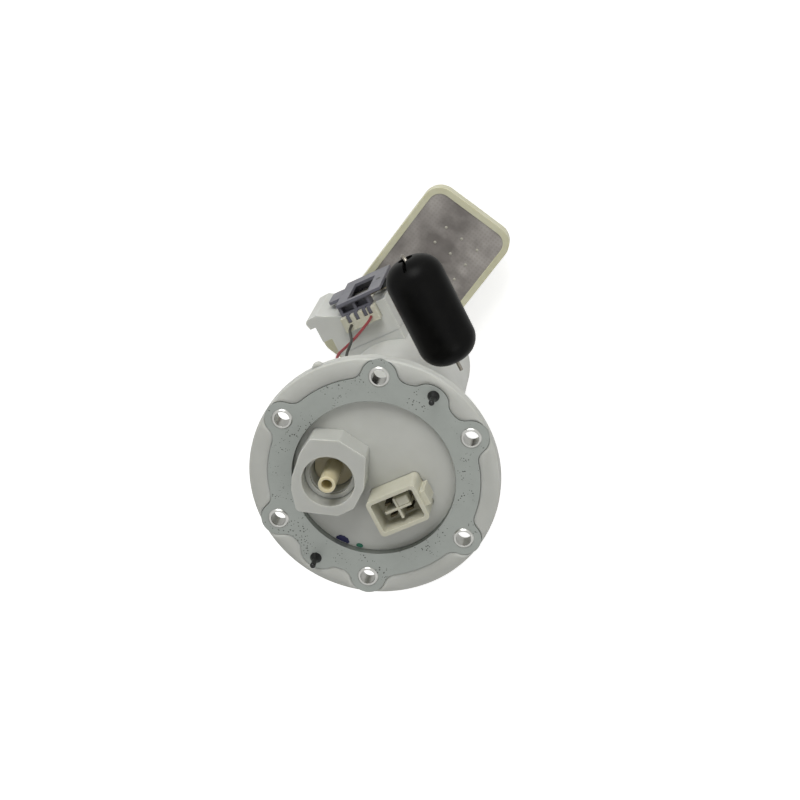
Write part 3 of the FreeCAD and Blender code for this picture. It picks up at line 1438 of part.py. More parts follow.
def terminal_tab(name, growth, outer):
    """The tab of a terminal, or the slot in the neck that it fills."""
    half = "(0.9 + %s)" % growth
    inner = "dim.neck_radius - dim.neck_wall"
    return block(
        name,
        (inner, outer),
        ("-" + half, half),
        (TERMINAL_TOP + " - 1.2 - %s" % growth, TERMINAL_TOP + " + %s" % growth),
    )


def strainer_frame_place(made):
    """Turns a piece that is built along the strainer to its place."""
    return place(made, angle="dim.strainer_angle")


def make_strainer():
    """The strainer: frame, two mesh faces, spacer with posts, and the grommet."""
    heel = "-dim.strainer_heel"
    tip = "dim.strainer_tip"
    near = "-dim.strainer_near_side"
    far = "(dim.strainer_width - dim.strainer_near_side)"
    border = "dim.strainer_border"
    outline = [(heel, near), (tip, near), (tip, far), (heel, far)]
    frame = padded("strainer_outline", outline, STRAINER_END, STRAINER_TOP)
    rounded(frame, "strainer_rounds", "dim.strainer_round", upright)
    inside_points = [
        ("%s + %s" % (heel, border), "%s + %s" % (near, border)),
        ("%s - %s" % (tip, border), "%s + %s" % (near, border)),
        ("%s - %s" % (tip, border), "%s - %s" % (far, border)),
        ("%s + %s" % (heel, border), "%s - %s" % (far, border)),
    ]

    def inside(name, low, high):
        made = padded(name, inside_points, low, high)
        return rounded(made, name + "_rounds", "dim.strainer_round - " + border, upright)

    shoe = "dim.shoe_length - dim.strainer_heel"
    shoe_low = "(%s - dim.shoe_thickness)" % STRAINER_TOP
    neck_top = "(%s + dim.strainer_gap - 0.4)" % STRAINER_TOP
    hollow = cut(
        "strainer_ring",
        frame,
        inside("strainer_open", STRAINER_END + " - 1", STRAINER_TOP + " + 1"),
    )
    plate_points = [
        (heel + " + 2", near + " + 2"),
        (shoe, near + " + 2"),
        (shoe, far + " - 2"),
        (heel + " + 2", far + " - 2"),
    ]
    plate = padded("strainer_shoe", plate_points, shoe_low, STRAINER_TOP)
    rounded(
        plate,
        "shoe_rounds",
        "dim.strainer_round - 2",
        lambda edge: upright(edge) and edge.BoundBox.XMax < -10,
    )
    neck = cylinder("strainer_neck", "dim.strainer_neck_radius", shoe_low, neck_top, "0", "dim.inlet_offset")
    grommet_out = "dim.inlet_radius + dim.grommet_wall"
    hole = cylinder(
        "strainer_neck_hole", grommet_out, shoe_low + " - 1", neck_top + " + 1", "0", "dim.inlet_offset"
    )
    whole = cut("strainer", fuse("strainer_solid", hollow, plate, neck), hole)
    keep("strainer_frame", strainer_frame_place(whole))
    ring = cylinder("grommet_ring", grommet_out, shoe_low, neck_top, "0", "dim.inlet_offset")
    way = cylinder(
        "grommet_hole", "dim.inlet_radius", shoe_low + " - 1", neck_top + " + 1", "0", "dim.inlet_offset"
    )
    keep("strainer_grommet", strainer_frame_place(cut("grommet", ring, way)))
    top_high = "(%s - dim.mesh_inset)" % STRAINER_TOP
    top_low = "(%s - dim.mesh_thickness)" % top_high
    foot_low = "(%s + dim.mesh_inset)" % STRAINER_END
    foot_high = "(%s + dim.mesh_thickness)" % foot_low
    posts = []
    holes = []
    rows = [index * value("dim.post_pitch") for index in (1, 2, 3)]
    columns = [value("dim.post_first") + index * value("dim.post_pitch") for index in range(6)]
    for across in rows:
        for along in columns:
            x = "%.2f" % along
            y = "%.2f" % (across + 0.4)
            posts.append(cylinder("post", "dim.post_radius", foot_low, top_high + " + dim.post_stand", x, y))
            holes.append(
                cylinder(
                    "post_hole", "dim.post_radius + 0.05", foot_low + " - 2", STRAINER_TOP + " + 1", x, y
                ),
            )
    bar_low = "(%s + 0.6)" % foot_high
    bar_high = bar_low + " + 1"
    for across in rows:
        y = "%.2f" % (across + 0.4)
        span = ("%.2f" % columns[0], "%.2f" % columns[-1])
        posts.append(block("row_bar", span, (y + " - 0.4", y + " + 0.4"), (bar_low, bar_high)))
    for along in columns:
        x = "%.2f" % along
        span = ("%.2f" % (rows[0] + 0.4), "%.2f" % (rows[-1] + 0.4))
        posts.append(block("column_bar", (x + " - 0.4", x + " + 0.4"), span, (bar_low, bar_high)))
    keep("strainer_spacer", strainer_frame_place(fuse("spacer", *posts)))
    under_shoe = block(
        "under_shoe", (heel, shoe), (near, far), (top_low + " - 1", top_high + " + 1")
    )
    upper = cut("mesh_upper_cut", inside("mesh_upper", top_low, top_high), under_shoe, *holes)
    keep("strainer_mesh_upper", strainer_frame_place(upper))
    lower = inside("mesh_lower", foot_low, foot_high)
    lower_cut = cut("mesh_lower_cut", lower, fuse("post_feet", *[item for item in holes]))
    keep("strainer_mesh_lower", strainer_frame_place(lower_cut))


make_clamp_ring()
make_sleeves_and_pins()
make_flange()
make_connector()
make_outlet()
make_housing()
make_cap()
make_element()
make_pump_case()
make_rotor()
make_check_valve()
make_regulator()
make_sender()
make_float()
make_leads()
make_strainer()
doc.recompute()

problems = []
for item in doc.Objects:
    if "Invalid" in item.State or "Error" in item.State:
        problems.append("%s is %s" % (item.Name, item.State))
for item in parts:
    shape = item.Shape
    if shape.isNull() or not shape.isValid() or not shape.Solids:
        problems.append("%s has no sound solid" % item.Label)
if problems:
    raise RuntimeError("; ".join(problems[:8]))

os.makedirs("parts", exist_ok=True)
for item in parts:
    item.Shape.exportStep("parts/%s.step" % item.Label)
    box = item.Shape.BoundBox
    print(
        item.Label,
        len(item.Shape.Solids),
        "volume %.0f" % item.Shape.Volume,
        "smallest %.2f" % min(solid.Volume for solid in item.Shape.Solids),
        "z %.1f %.1f" % (box.ZMin, box.ZMax),
    )
print(len(parts), "sub-parts written")
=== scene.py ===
import logging
import math
from dataclasses import dataclass
from enum import Enum
from typing import Any, Dict, Iterable, Optional, Sequence, Tuple, Union

import bmesh
import bpy
from mathutils import Matrix, Vector
from mathutils.bvhtree import BVHTree


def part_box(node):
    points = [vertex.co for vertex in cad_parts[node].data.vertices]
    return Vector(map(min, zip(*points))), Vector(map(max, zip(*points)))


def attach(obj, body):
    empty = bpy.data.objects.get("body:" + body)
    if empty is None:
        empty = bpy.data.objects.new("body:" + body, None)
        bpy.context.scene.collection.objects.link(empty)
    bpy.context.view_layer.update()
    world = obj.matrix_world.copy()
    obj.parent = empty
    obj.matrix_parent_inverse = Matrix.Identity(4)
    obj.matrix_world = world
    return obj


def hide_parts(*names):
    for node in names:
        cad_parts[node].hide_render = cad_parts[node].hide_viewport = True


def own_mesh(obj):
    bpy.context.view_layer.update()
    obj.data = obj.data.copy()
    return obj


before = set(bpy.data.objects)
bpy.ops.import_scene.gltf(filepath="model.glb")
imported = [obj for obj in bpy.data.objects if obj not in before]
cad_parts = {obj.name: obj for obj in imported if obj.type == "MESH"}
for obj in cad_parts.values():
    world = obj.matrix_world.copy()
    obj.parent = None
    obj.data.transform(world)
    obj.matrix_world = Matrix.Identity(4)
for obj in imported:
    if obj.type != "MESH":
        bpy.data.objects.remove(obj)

LOG = logging.getLogger("fuel_pump_module")
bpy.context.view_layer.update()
MM = 0.001
BUMP_DEPTH_MM = 0.1
BEVEL_SAMPLES = 4
SHARP_ANGLE = 35.0
# Points nearer than this are one point, in metres.
SAME_PLACE = 1e-6
# A distance in metres that clears the flange on every side.
OUTSIDE = 0.08
# The strainer's length lies at this angle to the X axis, in degrees.
STRAINER_TURN = 57.5
# A wave texture draws the sine of this many times the place.
WAVE_FACTOR = 20.0
Colour = Tuple[float, float, float, float]
Point = Tuple[float, float, float]
Pair = Tuple[float, float]


def linear(hex_colour: str) -> Colour:
    """Turns an sRGB hex value into a linear colour.

    Args:
        hex_colour: Six hex digits, such as "c8ccc4".

    Returns:
        The linear red, green and blue, with an alpha of one.
    """
    channels = []
    for start in (0, 2, 4):
        level = int(hex_colour[start : start + 2], 16) / 255
        if level <= 0.04045:
            channels.append(level / 12.92)
        else:
            channels.append(((level + 0.055) / 1.055) ** 2.4)
    return (channels[0], channels[1], channels[2], 1.0)


def per_metre(size_mm: float) -> float:
    """Gives the texture scale at which a pattern repeats about every size_mm."""
    return 1.0 / (size_mm * MM)


def add_node(
    owner: Union[bpy.types.Material, bpy.types.World],
    kind: str,
    settings: Optional[Dict[Any, Any]] = None,
    links: Optional[Dict[Any, Any]] = None,
) -> bpy.types.Node:
    """Adds one node to a material or to the world.

    Args:
        owner: The material or the world that gets the node.
        kind: The node's type name without the "ShaderNode" in front.
        settings: Values by attribute name, or by input name or number.
        links: Output sockets by the input name or number they go to.

    Returns:
        The new node.
    """
    tree = owner.node_tree
    node = tree.nodes.new("ShaderNode" + kind)
    for key, number in (settings or {}).items():
        if isinstance(key, str) and hasattr(node, key):
            setattr(node, key, number)
        else:
            node.inputs[key].default_value = number
    for key, socket in (links or {}).items():
        tree.links.new(socket, node.inputs[key])
    return node


def new_material(name: str) -> bpy.types.Material:
    """Makes a node material with no nodes in it.

    Args:
        name: The material's name.

    Returns:
        The new material.
    """
    material = bpy.data.materials.new(name)
    material.use_nodes = True
    material.node_tree.nodes.clear()
    return material


def finish_surface(material: bpy.types.Material, shader: bpy.types.Node) -> bpy.types.Material:
    """Links a shader to the material's output and hands the material back."""
    add_node(material, "OutputMaterial", links={"Surface": shader.outputs[0]})
    return material


@dataclass(frozen=True)
class MouldedPlastic:
    """Injection moulded plastic: soft edges, a faint mottle and a fine skin.

    The eye sees a satin skin, slightly darker where the wall is thick or dusty, and
    light that goes a little way into the pale grades. Sizes of patterns are in
    millimetres, and gloss_swing is how far the roughness wanders from its value.
    """

    name: str
    colour: str
    shade: str
    roughness: float = 0.42
    mottle_mm: float = 14.0
    mottle: float = 0.5
    grain_mm: float = 0.9
    grain: float = 0.05
    edge_mm: float = 0.35
    depth_mm: float = 0.0
    depth_tint: Point = (1.0, 0.96, 0.88)
    least_depth_mm: float = 0.01
    ior: float = 1.5
    coat: float = 0.0
    coat_roughness: float = 0.2
    specular: float = 0.5
    cloud_span: Pair = (0.35, 0.7)
    gloss_swing: Pair = (-0.05, 0.09)

    def build(self) -> bpy.types.Material:
        """Builds the plastic's material.

        Returns:
            The plastic's material.
        """
        made = new_material(self.name)
        place = add_node(made, "TexCoord").outputs["Object"]
        clouds = add_node(
            made,
            "TexNoise",
            {"Scale": per_metre(self.mottle_mm), "Detail": 3.0, "Roughness": 0.55},
            {"Vector": place},
        )
        spread = add_node(
            made,
            "MapRange",
            {"From Min": self.cloud_span[0], "From Max": self.cloud_span[1], "To Max": self.mottle},
            {"Value": clouds.outputs["Fac"]},
        )
        colour = add_node(
            made,
            "Mix",
            {"data_type": "RGBA", 6: linear(self.colour), 7: linear(self.shade)},
            {0: spread.outputs[0]},
        )
        skin = add_node(
            made,
            "TexNoise",
            {"Scale": per_metre(self.grain_mm), "Detail": 2.0},
            {"Vector": place},
        )
        gloss = add_node(
            made,
            "MapRange",
            {
                "To Min": self.roughness + self.gloss_swing[0],
                "To Max": self.roughness + self.gloss_swing[1],
            },
            {"Value": clouds.outputs["Fac"]},
        )
        edges = add_node(made, "Bevel", {"samples": BEVEL_SAMPLES, "Radius": self.edge_mm * MM})
        bump = add_node(
            made,
            "Bump",
            {"Strength": self.grain, "Distance": BUMP_DEPTH_MM * MM},
            {"Height": skin.outputs["Fac"], "Normal": edges.outputs[0]},
        )
        settings = {
            "IOR": self.ior,
            "Subsurface Weight": 1.0 if self.depth_mm else 0.0,
            "Subsurface Radius": self.depth_tint,
            "Subsurface Scale": max(self.depth_mm, self.least_depth_mm) * MM,
            "Specular IOR Level": self.specular,
            "Coat Weight": self.coat,
            "Coat Roughness": self.coat_roughness,
        }
        shader = add_node(
            made,
            "BsdfPrincipled",
            settings,
            {
                "Base Color": colour.outputs[2],
                "Roughness": gloss.outputs[0],
                "Normal": bump.outputs[0],
            },
        )
        return finish_surface(made, shader)


@dataclass(frozen=True)
class ZincPlate:
    """Zinc plated sheet steel that has dulled in fuel vapour.

    The eye sees a matt grey-green skin with pale bloom and small dark corrosion specks.
    """

    name: str = "zinc_plated_sheet_steel"
    colour: str = "8b8f8a"
    bloom: str = "a0a49f"
    speck: str = "3c3d39"
    speck_mm: float = 1.1
    bloom_mm: float = 9.0
    patch_mm: float = 11.0
    patch_span: Pair = (0.46, 0.66)
    speck_reach: Pair = (0.02, 0.3)
    metallic: float = 0.75
    roughness: float = 0.5
    gloss_swing: Pair = (-0.08, 0.12)
    bloom_bump: float = 0.12
    edge_mm: float = 0.3

    def build(self) -> bpy.types.Material:
        """Builds the plated steel's material.

        Returns:
            The plated steel's material.
        """
        made = new_material(self.name)
        place = add_node(made, "TexCoord").outputs["Object"]
        bloom = add_node(
            made,
            "TexNoise",
            {"Scale": per_metre(self.bloom_mm), "Detail": 5.0, "Roughness": 0.65},
            {"Vector": place},
        )
        plate = add_node(
            made,
            "Mix",
            {"data_type": "RGBA", 6: linear(self.colour), 7: linear(self.bloom)},
            {0: bloom.outputs["Fac"]},
        )
        cells = add_node(
            made,
            "TexVoronoi",
            {"Scale": per_metre(self.speck_mm), "Randomness": 1.0},
            {"Vector": place},
        )
        regions = add_node(
            made,
            "TexNoise",
            {"Scale": per_metre(self.patch_mm), "Detail": 2.0},
            {"Vector": place},
        )
        reach = add_node(
            made,
            "MapRange",
            {
                "From Min": self.patch_span[0],
                "From Max": self.patch_span[1],
                "To Min": self.speck_reach[0],
                "To Max": self.speck_reach[1],
            },
            {"Value": regions.outputs["Fac"]},
        )
        inside = add_node(
            made,
            "Math",
            {"operation": "LESS_THAN"},
            {0: cells.outputs["Distance"], 1: reach.outputs[0]},
        )
        colour = add_node(
            made,
            "Mix",
            {"data_type": "RGBA", 7: linear(self.speck)},
            {0: inside.outputs[0], 6: plate.outputs[2]},
        )
        metal = add_node(
            made,
            "MapRange",
            {"To Min": self.metallic, "To Max": 0.0},
            {"Value": inside.outputs[0]},
        )
        gloss = add_node(
            made,
            "MapRange",
            {
                "To Min": self.roughness + self.gloss_swing[0],
                "To Max": self.roughness + self.gloss_swing[1],
            },
            {"Value": bloom.outputs["Fac"]},
        )
        edges = add_node(made, "Bevel", {"samples": BEVEL_SAMPLES, "Radius": self.edge_mm * MM})
        bump = add_node(
            made,
            "Bump",
            {"Strength": self.bloom_bump, "Distance": BUMP_DEPTH_MM * MM},
            {"Height": bloom.outputs["Fac"], "Normal": edges.outputs[0]},
        )
        shader = add_node(
            made,
            "BsdfPrincipled",
            links={
                "Base Color": colour.outputs[2],
                "Metallic": metal.outputs[0],
                "Roughness": gloss.outputs[0],
                "Normal": bump.outputs[0],
            },
        )
        return finish_surface(made, shader)


@dataclass(frozen=True)
class WornMetal:
    """Turned, drawn or cast metal with a little wear.

    The eye sees a metal colour whose gloss wanders from place to place.
    """

    name: str
    colour: str
    shade: str
    roughness: float = 0.3
    wear_mm: float = 5.0
    edge_mm: float = 0.15
    gloss_swing: Pair = (-0.08, 0.12)
    wear_bump: float = 0.06
    wear_depth_mm: float = 0.05

    def build(self) -> bpy.types.Material:
        """Builds the metal's material.

        Returns:
            The metal's material.
        """
        made = new_material(self.name)
        place = add_node(made, "TexCoord").outputs["Object"]
        wear = add_node(
            made,
            "TexNoise",
            {"Scale": per_metre(self.wear_mm), "Detail": 4.0},
            {"Vector": place},
        )
        colour = add_node(
            made,
            "Mix",
            {"data_type": "RGBA", 6: linear(self.colour), 7: linear(self.shade)},
            {0: wear.outputs["Fac"]},
        )
        gloss = add_node(
            made,
            "MapRange",
            {
                "To Min": self.roughness + self.gloss_swing[0],
                "To Max": self.roughness + self.gloss_swing[1],
            },
            {"Value": wear.outputs["Fac"]},
        )
        edges = add_node(made, "Bevel", {"samples": BEVEL_SAMPLES, "Radius": self.edge_mm * MM})
        bump = add_node(
            made,
            "Bump",
            {"Strength": self.wear_bump, "Distance": self.wear_depth_mm * MM},
            {"Height": wear.outputs["Fac"], "Normal": edges.outputs[0]},
        )
        shader = add_node(
            made,
            "BsdfPrincipled",
            {"Metallic": 1.0},
            {
                "Base Color": colour.outputs[2],
                "Roughness": gloss.outputs[0],
                "Normal": bump.outputs[0],
            },
        )
        return finish_surface(made, shader)


@dataclass(frozen=True)
class Grainy:
    """A matt solid with a visible grain: rubber, ferrite, carbon, paper or cell rubber.

    The eye sees a dull surface broken up by small pits, which lie closer in some
    places than in others.
    """

    name: str
    colour: str
    shade: str
    roughness: float = 0.7
    grain_mm: float = 0.5
    grain: float = 0.25
    specular: float = 0.5
    cloud_ratio: float = 18.0
    pit_span: Pair = (0.12, 0.4)
    gloss_swing: Pair = (-0.06, 0.08)

    def build(self) -> bpy.types.Material:
        """Builds the grainy solid's material.

        Returns:
            The grainy solid's material.
        """
        made = new_material(self.name)
        place = add_node(made, "TexCoord").outputs["Object"]
        pits = add_node(
            made,
            "TexNoise",
            {"Scale": per_metre(self.grain_mm), "Detail": 3.0, "Roughness": 0.6},
            {"Vector": place},
        )
        clouds = add_node(
            made,
            "TexNoise",
            {"Scale": per_metre(self.grain_mm * self.cloud_ratio), "Detail": 2.0},
            {"Vector": place},
        )
        both = add_node(
            made,
            "Math",
            {"operation": "MULTIPLY"},
            {0: pits.outputs["Fac"], 1: clouds.outputs["Fac"]},
        )
        share = add_node(
            made,
            "MapRange",
            {"From Min": self.pit_span[0], "From Max": self.pit_span[1]},
            {"Value": both.outputs[0]},
        )
        colour = add_node(
            made,
            "Mix",
            {"data_type": "RGBA", 6: linear(self.colour), 7: linear(self.shade)},
            {0: share.outputs[0]},
        )
        gloss = add_node(
            made,
            "MapRange",
            {
                "To Min": self.roughness + self.gloss_swing[0],
                "To Max": self.roughness + self.gloss_swing[1],
            },
            {"Value": clouds.outputs["Fac"]},
        )
        bump = add_node(
            made,
            "Bump",
            {"Strength": self.grain, "Distance": BUMP_DEPTH_MM * MM},
            {"Height": pits.outputs["Fac"]},
        )
        shader = add_node(
            made,
            "BsdfPrincipled",
            {"Specular IOR Level": self.specular},
            {
                "Base Color": colour.outputs[2],
                "Roughness": gloss.outputs[0],
                "Normal": bump.outputs[0],
            },
        )
        return finish_surface(made, shader)


@dataclass(frozen=True)
class WovenMesh:
    """Woven nylon monofilament cloth of a strainer.

    The eye sees grey threads crossing at right angles under cloudy fuel stains. Real
    threads are about 0.1 mm apart, too fine to show, and are drawn at pitch_mm.
    """

    name: str = "woven_nylon_strainer_mesh"
    thread: str = "a5a09b"
    gap: str = "9a958f"
    stain: str = "68635f"
    pitch_mm: float = 1.6
    stain_mm: float = 24.0
    stain_span: Pair = (0.36, 0.64)
    stain_share: float = 0.95
    roughness: float = 0.62
    sheen: float = 0.15
    weave_bump: float = 0.12
    weave_depth_mm: float = 0.08

    def build(self) -> bpy.types.Material:
        """Builds the mesh cloth's material.

        Returns:
            The mesh cloth's material.
        """
        made = new_material(self.name)
        place = add_node(made, "TexCoord").outputs["Object"]
        turned = add_node(
            made,
            "Mapping",
            {"vector_type": "TEXTURE", "Rotation": (0.0, 0.0, math.radians(STRAINER_TURN))},
            {"Vector": place},
        )
        waves = []
        for direction in ("X", "Y"):
            wave = add_node(
                made,
                "TexWave",
                {
                    "wave_type": "BANDS",
                    "bands_direction": direction,
                    "Scale": per_metre(self.pitch_mm) * math.tau / WAVE_FACTOR,
                },
                {"Vector": turned.outputs[0]},
            )
            waves.append(wave.outputs["Fac"])
        weave = add_node(made, "Math", {"operation": "MAXIMUM"}, {0: waves[0], 1: waves[1]})
        stains = add_node(
            made,
            "TexNoise",
            {"Scale": per_metre(self.stain_mm), "Detail": 4.0, "Roughness": 0.55},
            {"Vector": place},
        )
        cloth = add_node(
            made,
            "Mix",
            {"data_type": "RGBA", 6: linear(self.gap), 7: linear(self.thread)},
            {0: weave.outputs[0]},
        )
        share = add_node(
            made,
            "MapRange",
            {
                "From Min": self.stain_span[0],
                "From Max": self.stain_span[1],
                "To Max": self.stain_share,
            },
            {"Value": stains.outputs["Fac"]},
        )
        colour = add_node(
            made,
            "Mix",
            {"data_type": "RGBA", 7: linear(self.stain)},
            {0: share.outputs[0], 6: cloth.outputs[2]},
        )
        bump = add_node(
            made,
            "Bump",
            {"Strength": self.weave_bump, "Distance": self.weave_depth_mm * MM},
            {"Height": weave.outputs[0]},
        )
        shader = add_node(
            made,
            "BsdfPrincipled",
            {"Roughness": self.roughness, "Sheen Weight": self.sheen},
            {"Base Color": colour.outputs[2], "Normal": bump.outputs[0]},
        )
        return finish_surface(made, shader)


class Finishes(Enum):
    """Every finish on the module, each built once."""

    # Injection moulded nylon: milky white, so that light glows a little way into it.
    NYLON = MouldedPlastic("natural_nylon", "c0c1bb", "b4b5ae", 0.36, depth_mm=2.0)
    # Injection moulded acetal: whiter and slicker than the nylon.
    ACETAL = MouldedPlastic("white_acetal", "cccdc8", "c2c3bd", 0.34, depth_mm=1.5)
    # Moulded polyester of the plugs: warm, and nearly opaque.
    IVORY = MouldedPlastic("ivory_polyester", "c9c7b6", "bdbaa6", 0.4, depth_mm=0.8)
    # The same plastic where fuel has turned it honey yellow.
    STUB_IVORY = MouldedPlastic("yellowed_ivory_polyester", "cfc6a6", "c4b994", 0.36, depth_mm=3.0)
    # The strainer's frame: matt, and greener than the plugs.
    CREAM = MouldedPlastic("cream_nylon_frame", "cfcdb4", "c2bf9f", 0.45, depth_mm=0.8)
    # The sender's housing: slate with a violet cast and a light gloss over it.
    GREY = MouldedPlastic(
        "grey_violet_acetal", "66666f", "55555e", 0.36, mottle_mm=8.0, edge_mm=0.3, coat=0.2
    )
    # Small black mouldings: deep black with a dull highlight.
    BLACK = MouldedPlastic("black_nylon", "131312", "1c1c1d", 0.34, mottle_mm=4.0, specular=0.3)
    # Extruded wire covers: soft colour with a long, thin highlight.
    RED_WIRE = MouldedPlastic("red_wire_cover", "8a2a30", "6e1f26", 0.4, mottle_mm=3.0)
    BLACK_WIRE = MouldedPlastic("black_wire_cover", "26261f", "17170f", 0.4, mottle_mm=3.0)
    ZINC = ZincPlate()
    # Turned steel: bright, and a little blurred by the tool's marks.
    STEEL = WornMetal("turned_steel", "c4c4c0", "a9a9a4", 0.28)
    # Drawn wire: warm grey, with one highlight along its length.
    WIRE = WornMetal("drawn_steel_wire", "9b968d", "7b766d", 0.3, 2.0)
    # Stamped terminals under tin: a faint yellow under grey.
    BRASS = WornMetal("tinned_brass", "8d8672", "6f6856", 0.35)
    # Blades inside the connector: brown, almost without gloss.
    DULL_BRASS = WornMetal("tarnished_brass", "4e4836", "3a3527", 0.45)
    # Turned copper: warm red, slightly blurred.
    COPPER = WornMetal("copper", "b8734f", "8f5238", 0.35)
    # Die cast covers: pale and satin.
    ALUMINIUM = WornMetal("die_cast_aluminium", "bdbdbb", "9d9d9a", 0.45)
    # Moulded seals and cushions: soft black with no clear highlight.
    RUBBER = Grainy("moulded_nitrile_rubber", "1c1c1b", "2a2a29", 0.62)
    # The float's closed cells: the blackest piece, with a faint sheen along its top.
    CELL_RUBBER = Grainy("cell_rubber", "090909", "0f0f0e", 0.34, 0.35, 0.1, specular=0.06)
    # Sintered magnets: dark blue grey.
    FERRITE = Grainy("ferrite", "34343a", "44444b", 0.5)
    # Pressed brushes: soft dark grey.
    CARBON = Grainy("carbon", "222222", "343434", 0.55)
    # Filter paper stiffened with resin: tan and fibrous.
    PAPER = Grainy("resin_paper", "d8c891", "c4b078", 0.8, 0.8, 0.4)
    # The resistor's fired card: smooth off-white.
    CERAMIC = Grainy("ceramic_card", "e2e0d4", "cfccbd", 0.4, 0.6, 0.05)
    MESH = WovenMesh()
    # Post ends melted over the mesh: small glossy beads.
    STAKE = MouldedPlastic("melted_nylon_stake", "a9a799", "98958a", 0.35, mottle_mm=3.0)
    # Inspection paint: thin dabs, slightly glossy.
    BLUE_PAINT = MouldedPlastic("dark_blue_paint", "14143c", "1d1d55", 0.35, mottle_mm=1.0)
    GREEN_PAINT = MouldedPlastic("green_paint", "1d5f4a", "2c7a5f", 0.35, mottle_mm=1.0)

    def material(self) -> bpy.types.Material:
        """Gives the finish's material, built on first use."""
        ready = bpy.data.materials.get(self.value.name)
        return ready or self.value.build()


def dress(piece: bpy.types.Object, finish: Finishes) -> None:
    """Gives every material slot of a piece one finish.

    Args:
        piece: A CAD node or a new piece.
        finish: The finish it gets.
    """
    if not piece.material_slots:
        piece.data.materials.append(None)
    for slot in piece.material_slots:
        slot.material = finish.material()


def dress_nodes(table: Dict[str, Finishes]) -> None:
    """Gives CAD nodes their finishes, and reports each.

    Args:
        table: Finish by node name.
    """
    for name, finish in table.items():
        dress(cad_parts[name], finish)
        LOG.info("dressed %s in %s", name, finish.value.name)


def new_piece(name: str, mesh: bmesh.types.BMesh, finish: Finishes, body: str) -> bpy.types.Object:
    """Turns a finished bmesh into a piece that rides on a body.

    Args:
        name: The piece's name.
        mesh: Its shape in metres, in the CAD's frame. It is freed.
        finish: The finish it gets.
        body: The CAD body that it rides on.

    Returns:
        The new object.
    """
    data = bpy.data.meshes.new(name)
    mesh.to_mesh(data)
    mesh.free()
    data.shade_smooth()
    data.set_sharp_from_angle(angle=math.radians(SHARP_ANGLE))
    made = bpy.data.objects.new(name, data)
    bpy.context.scene.collection.objects.link(made)
    dress(made, finish)
    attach(made, body)
    LOG.info("built %s with %d faces", name, len(data.polygons))
    return made


def round_edges(
    mesh: bmesh.types.BMesh, edges: Iterable[bmesh.types.BMEdge], radius_mm: float, segments: int = 4
) -> None:
    """Rounds edges of a shape.

    Args:
        mesh: The shape.
        edges: The edges to round.
        radius_mm: The rounding's size.
        segments: How many strips the rounding has.
    """
    bmesh.ops.bevel(
        mesh,
        geom=list(edges),
        offset=radius_mm * MM,
        segments=segments,
        profile=0.5,
        affect="EDGES",
        material=-1,
    )


def turn_mesh(mesh: bmesh.types.BMesh, degrees: float) -> None:
    """Turns a shape about the Z axis."""
    turn = Matrix.Rotation(math.radians(degrees), 4, "Z")
    bmesh.ops.transform(mesh, matrix=turn, verts=mesh.verts[:])


@dataclass(frozen=True)
class PaintDot:
    """One dab of inspection paint: half its length and width, and how its length lies."""

    name: str
    finish: Finishes
    middle_mm: Pair
    radii_mm: Pair
    turn_deg: float


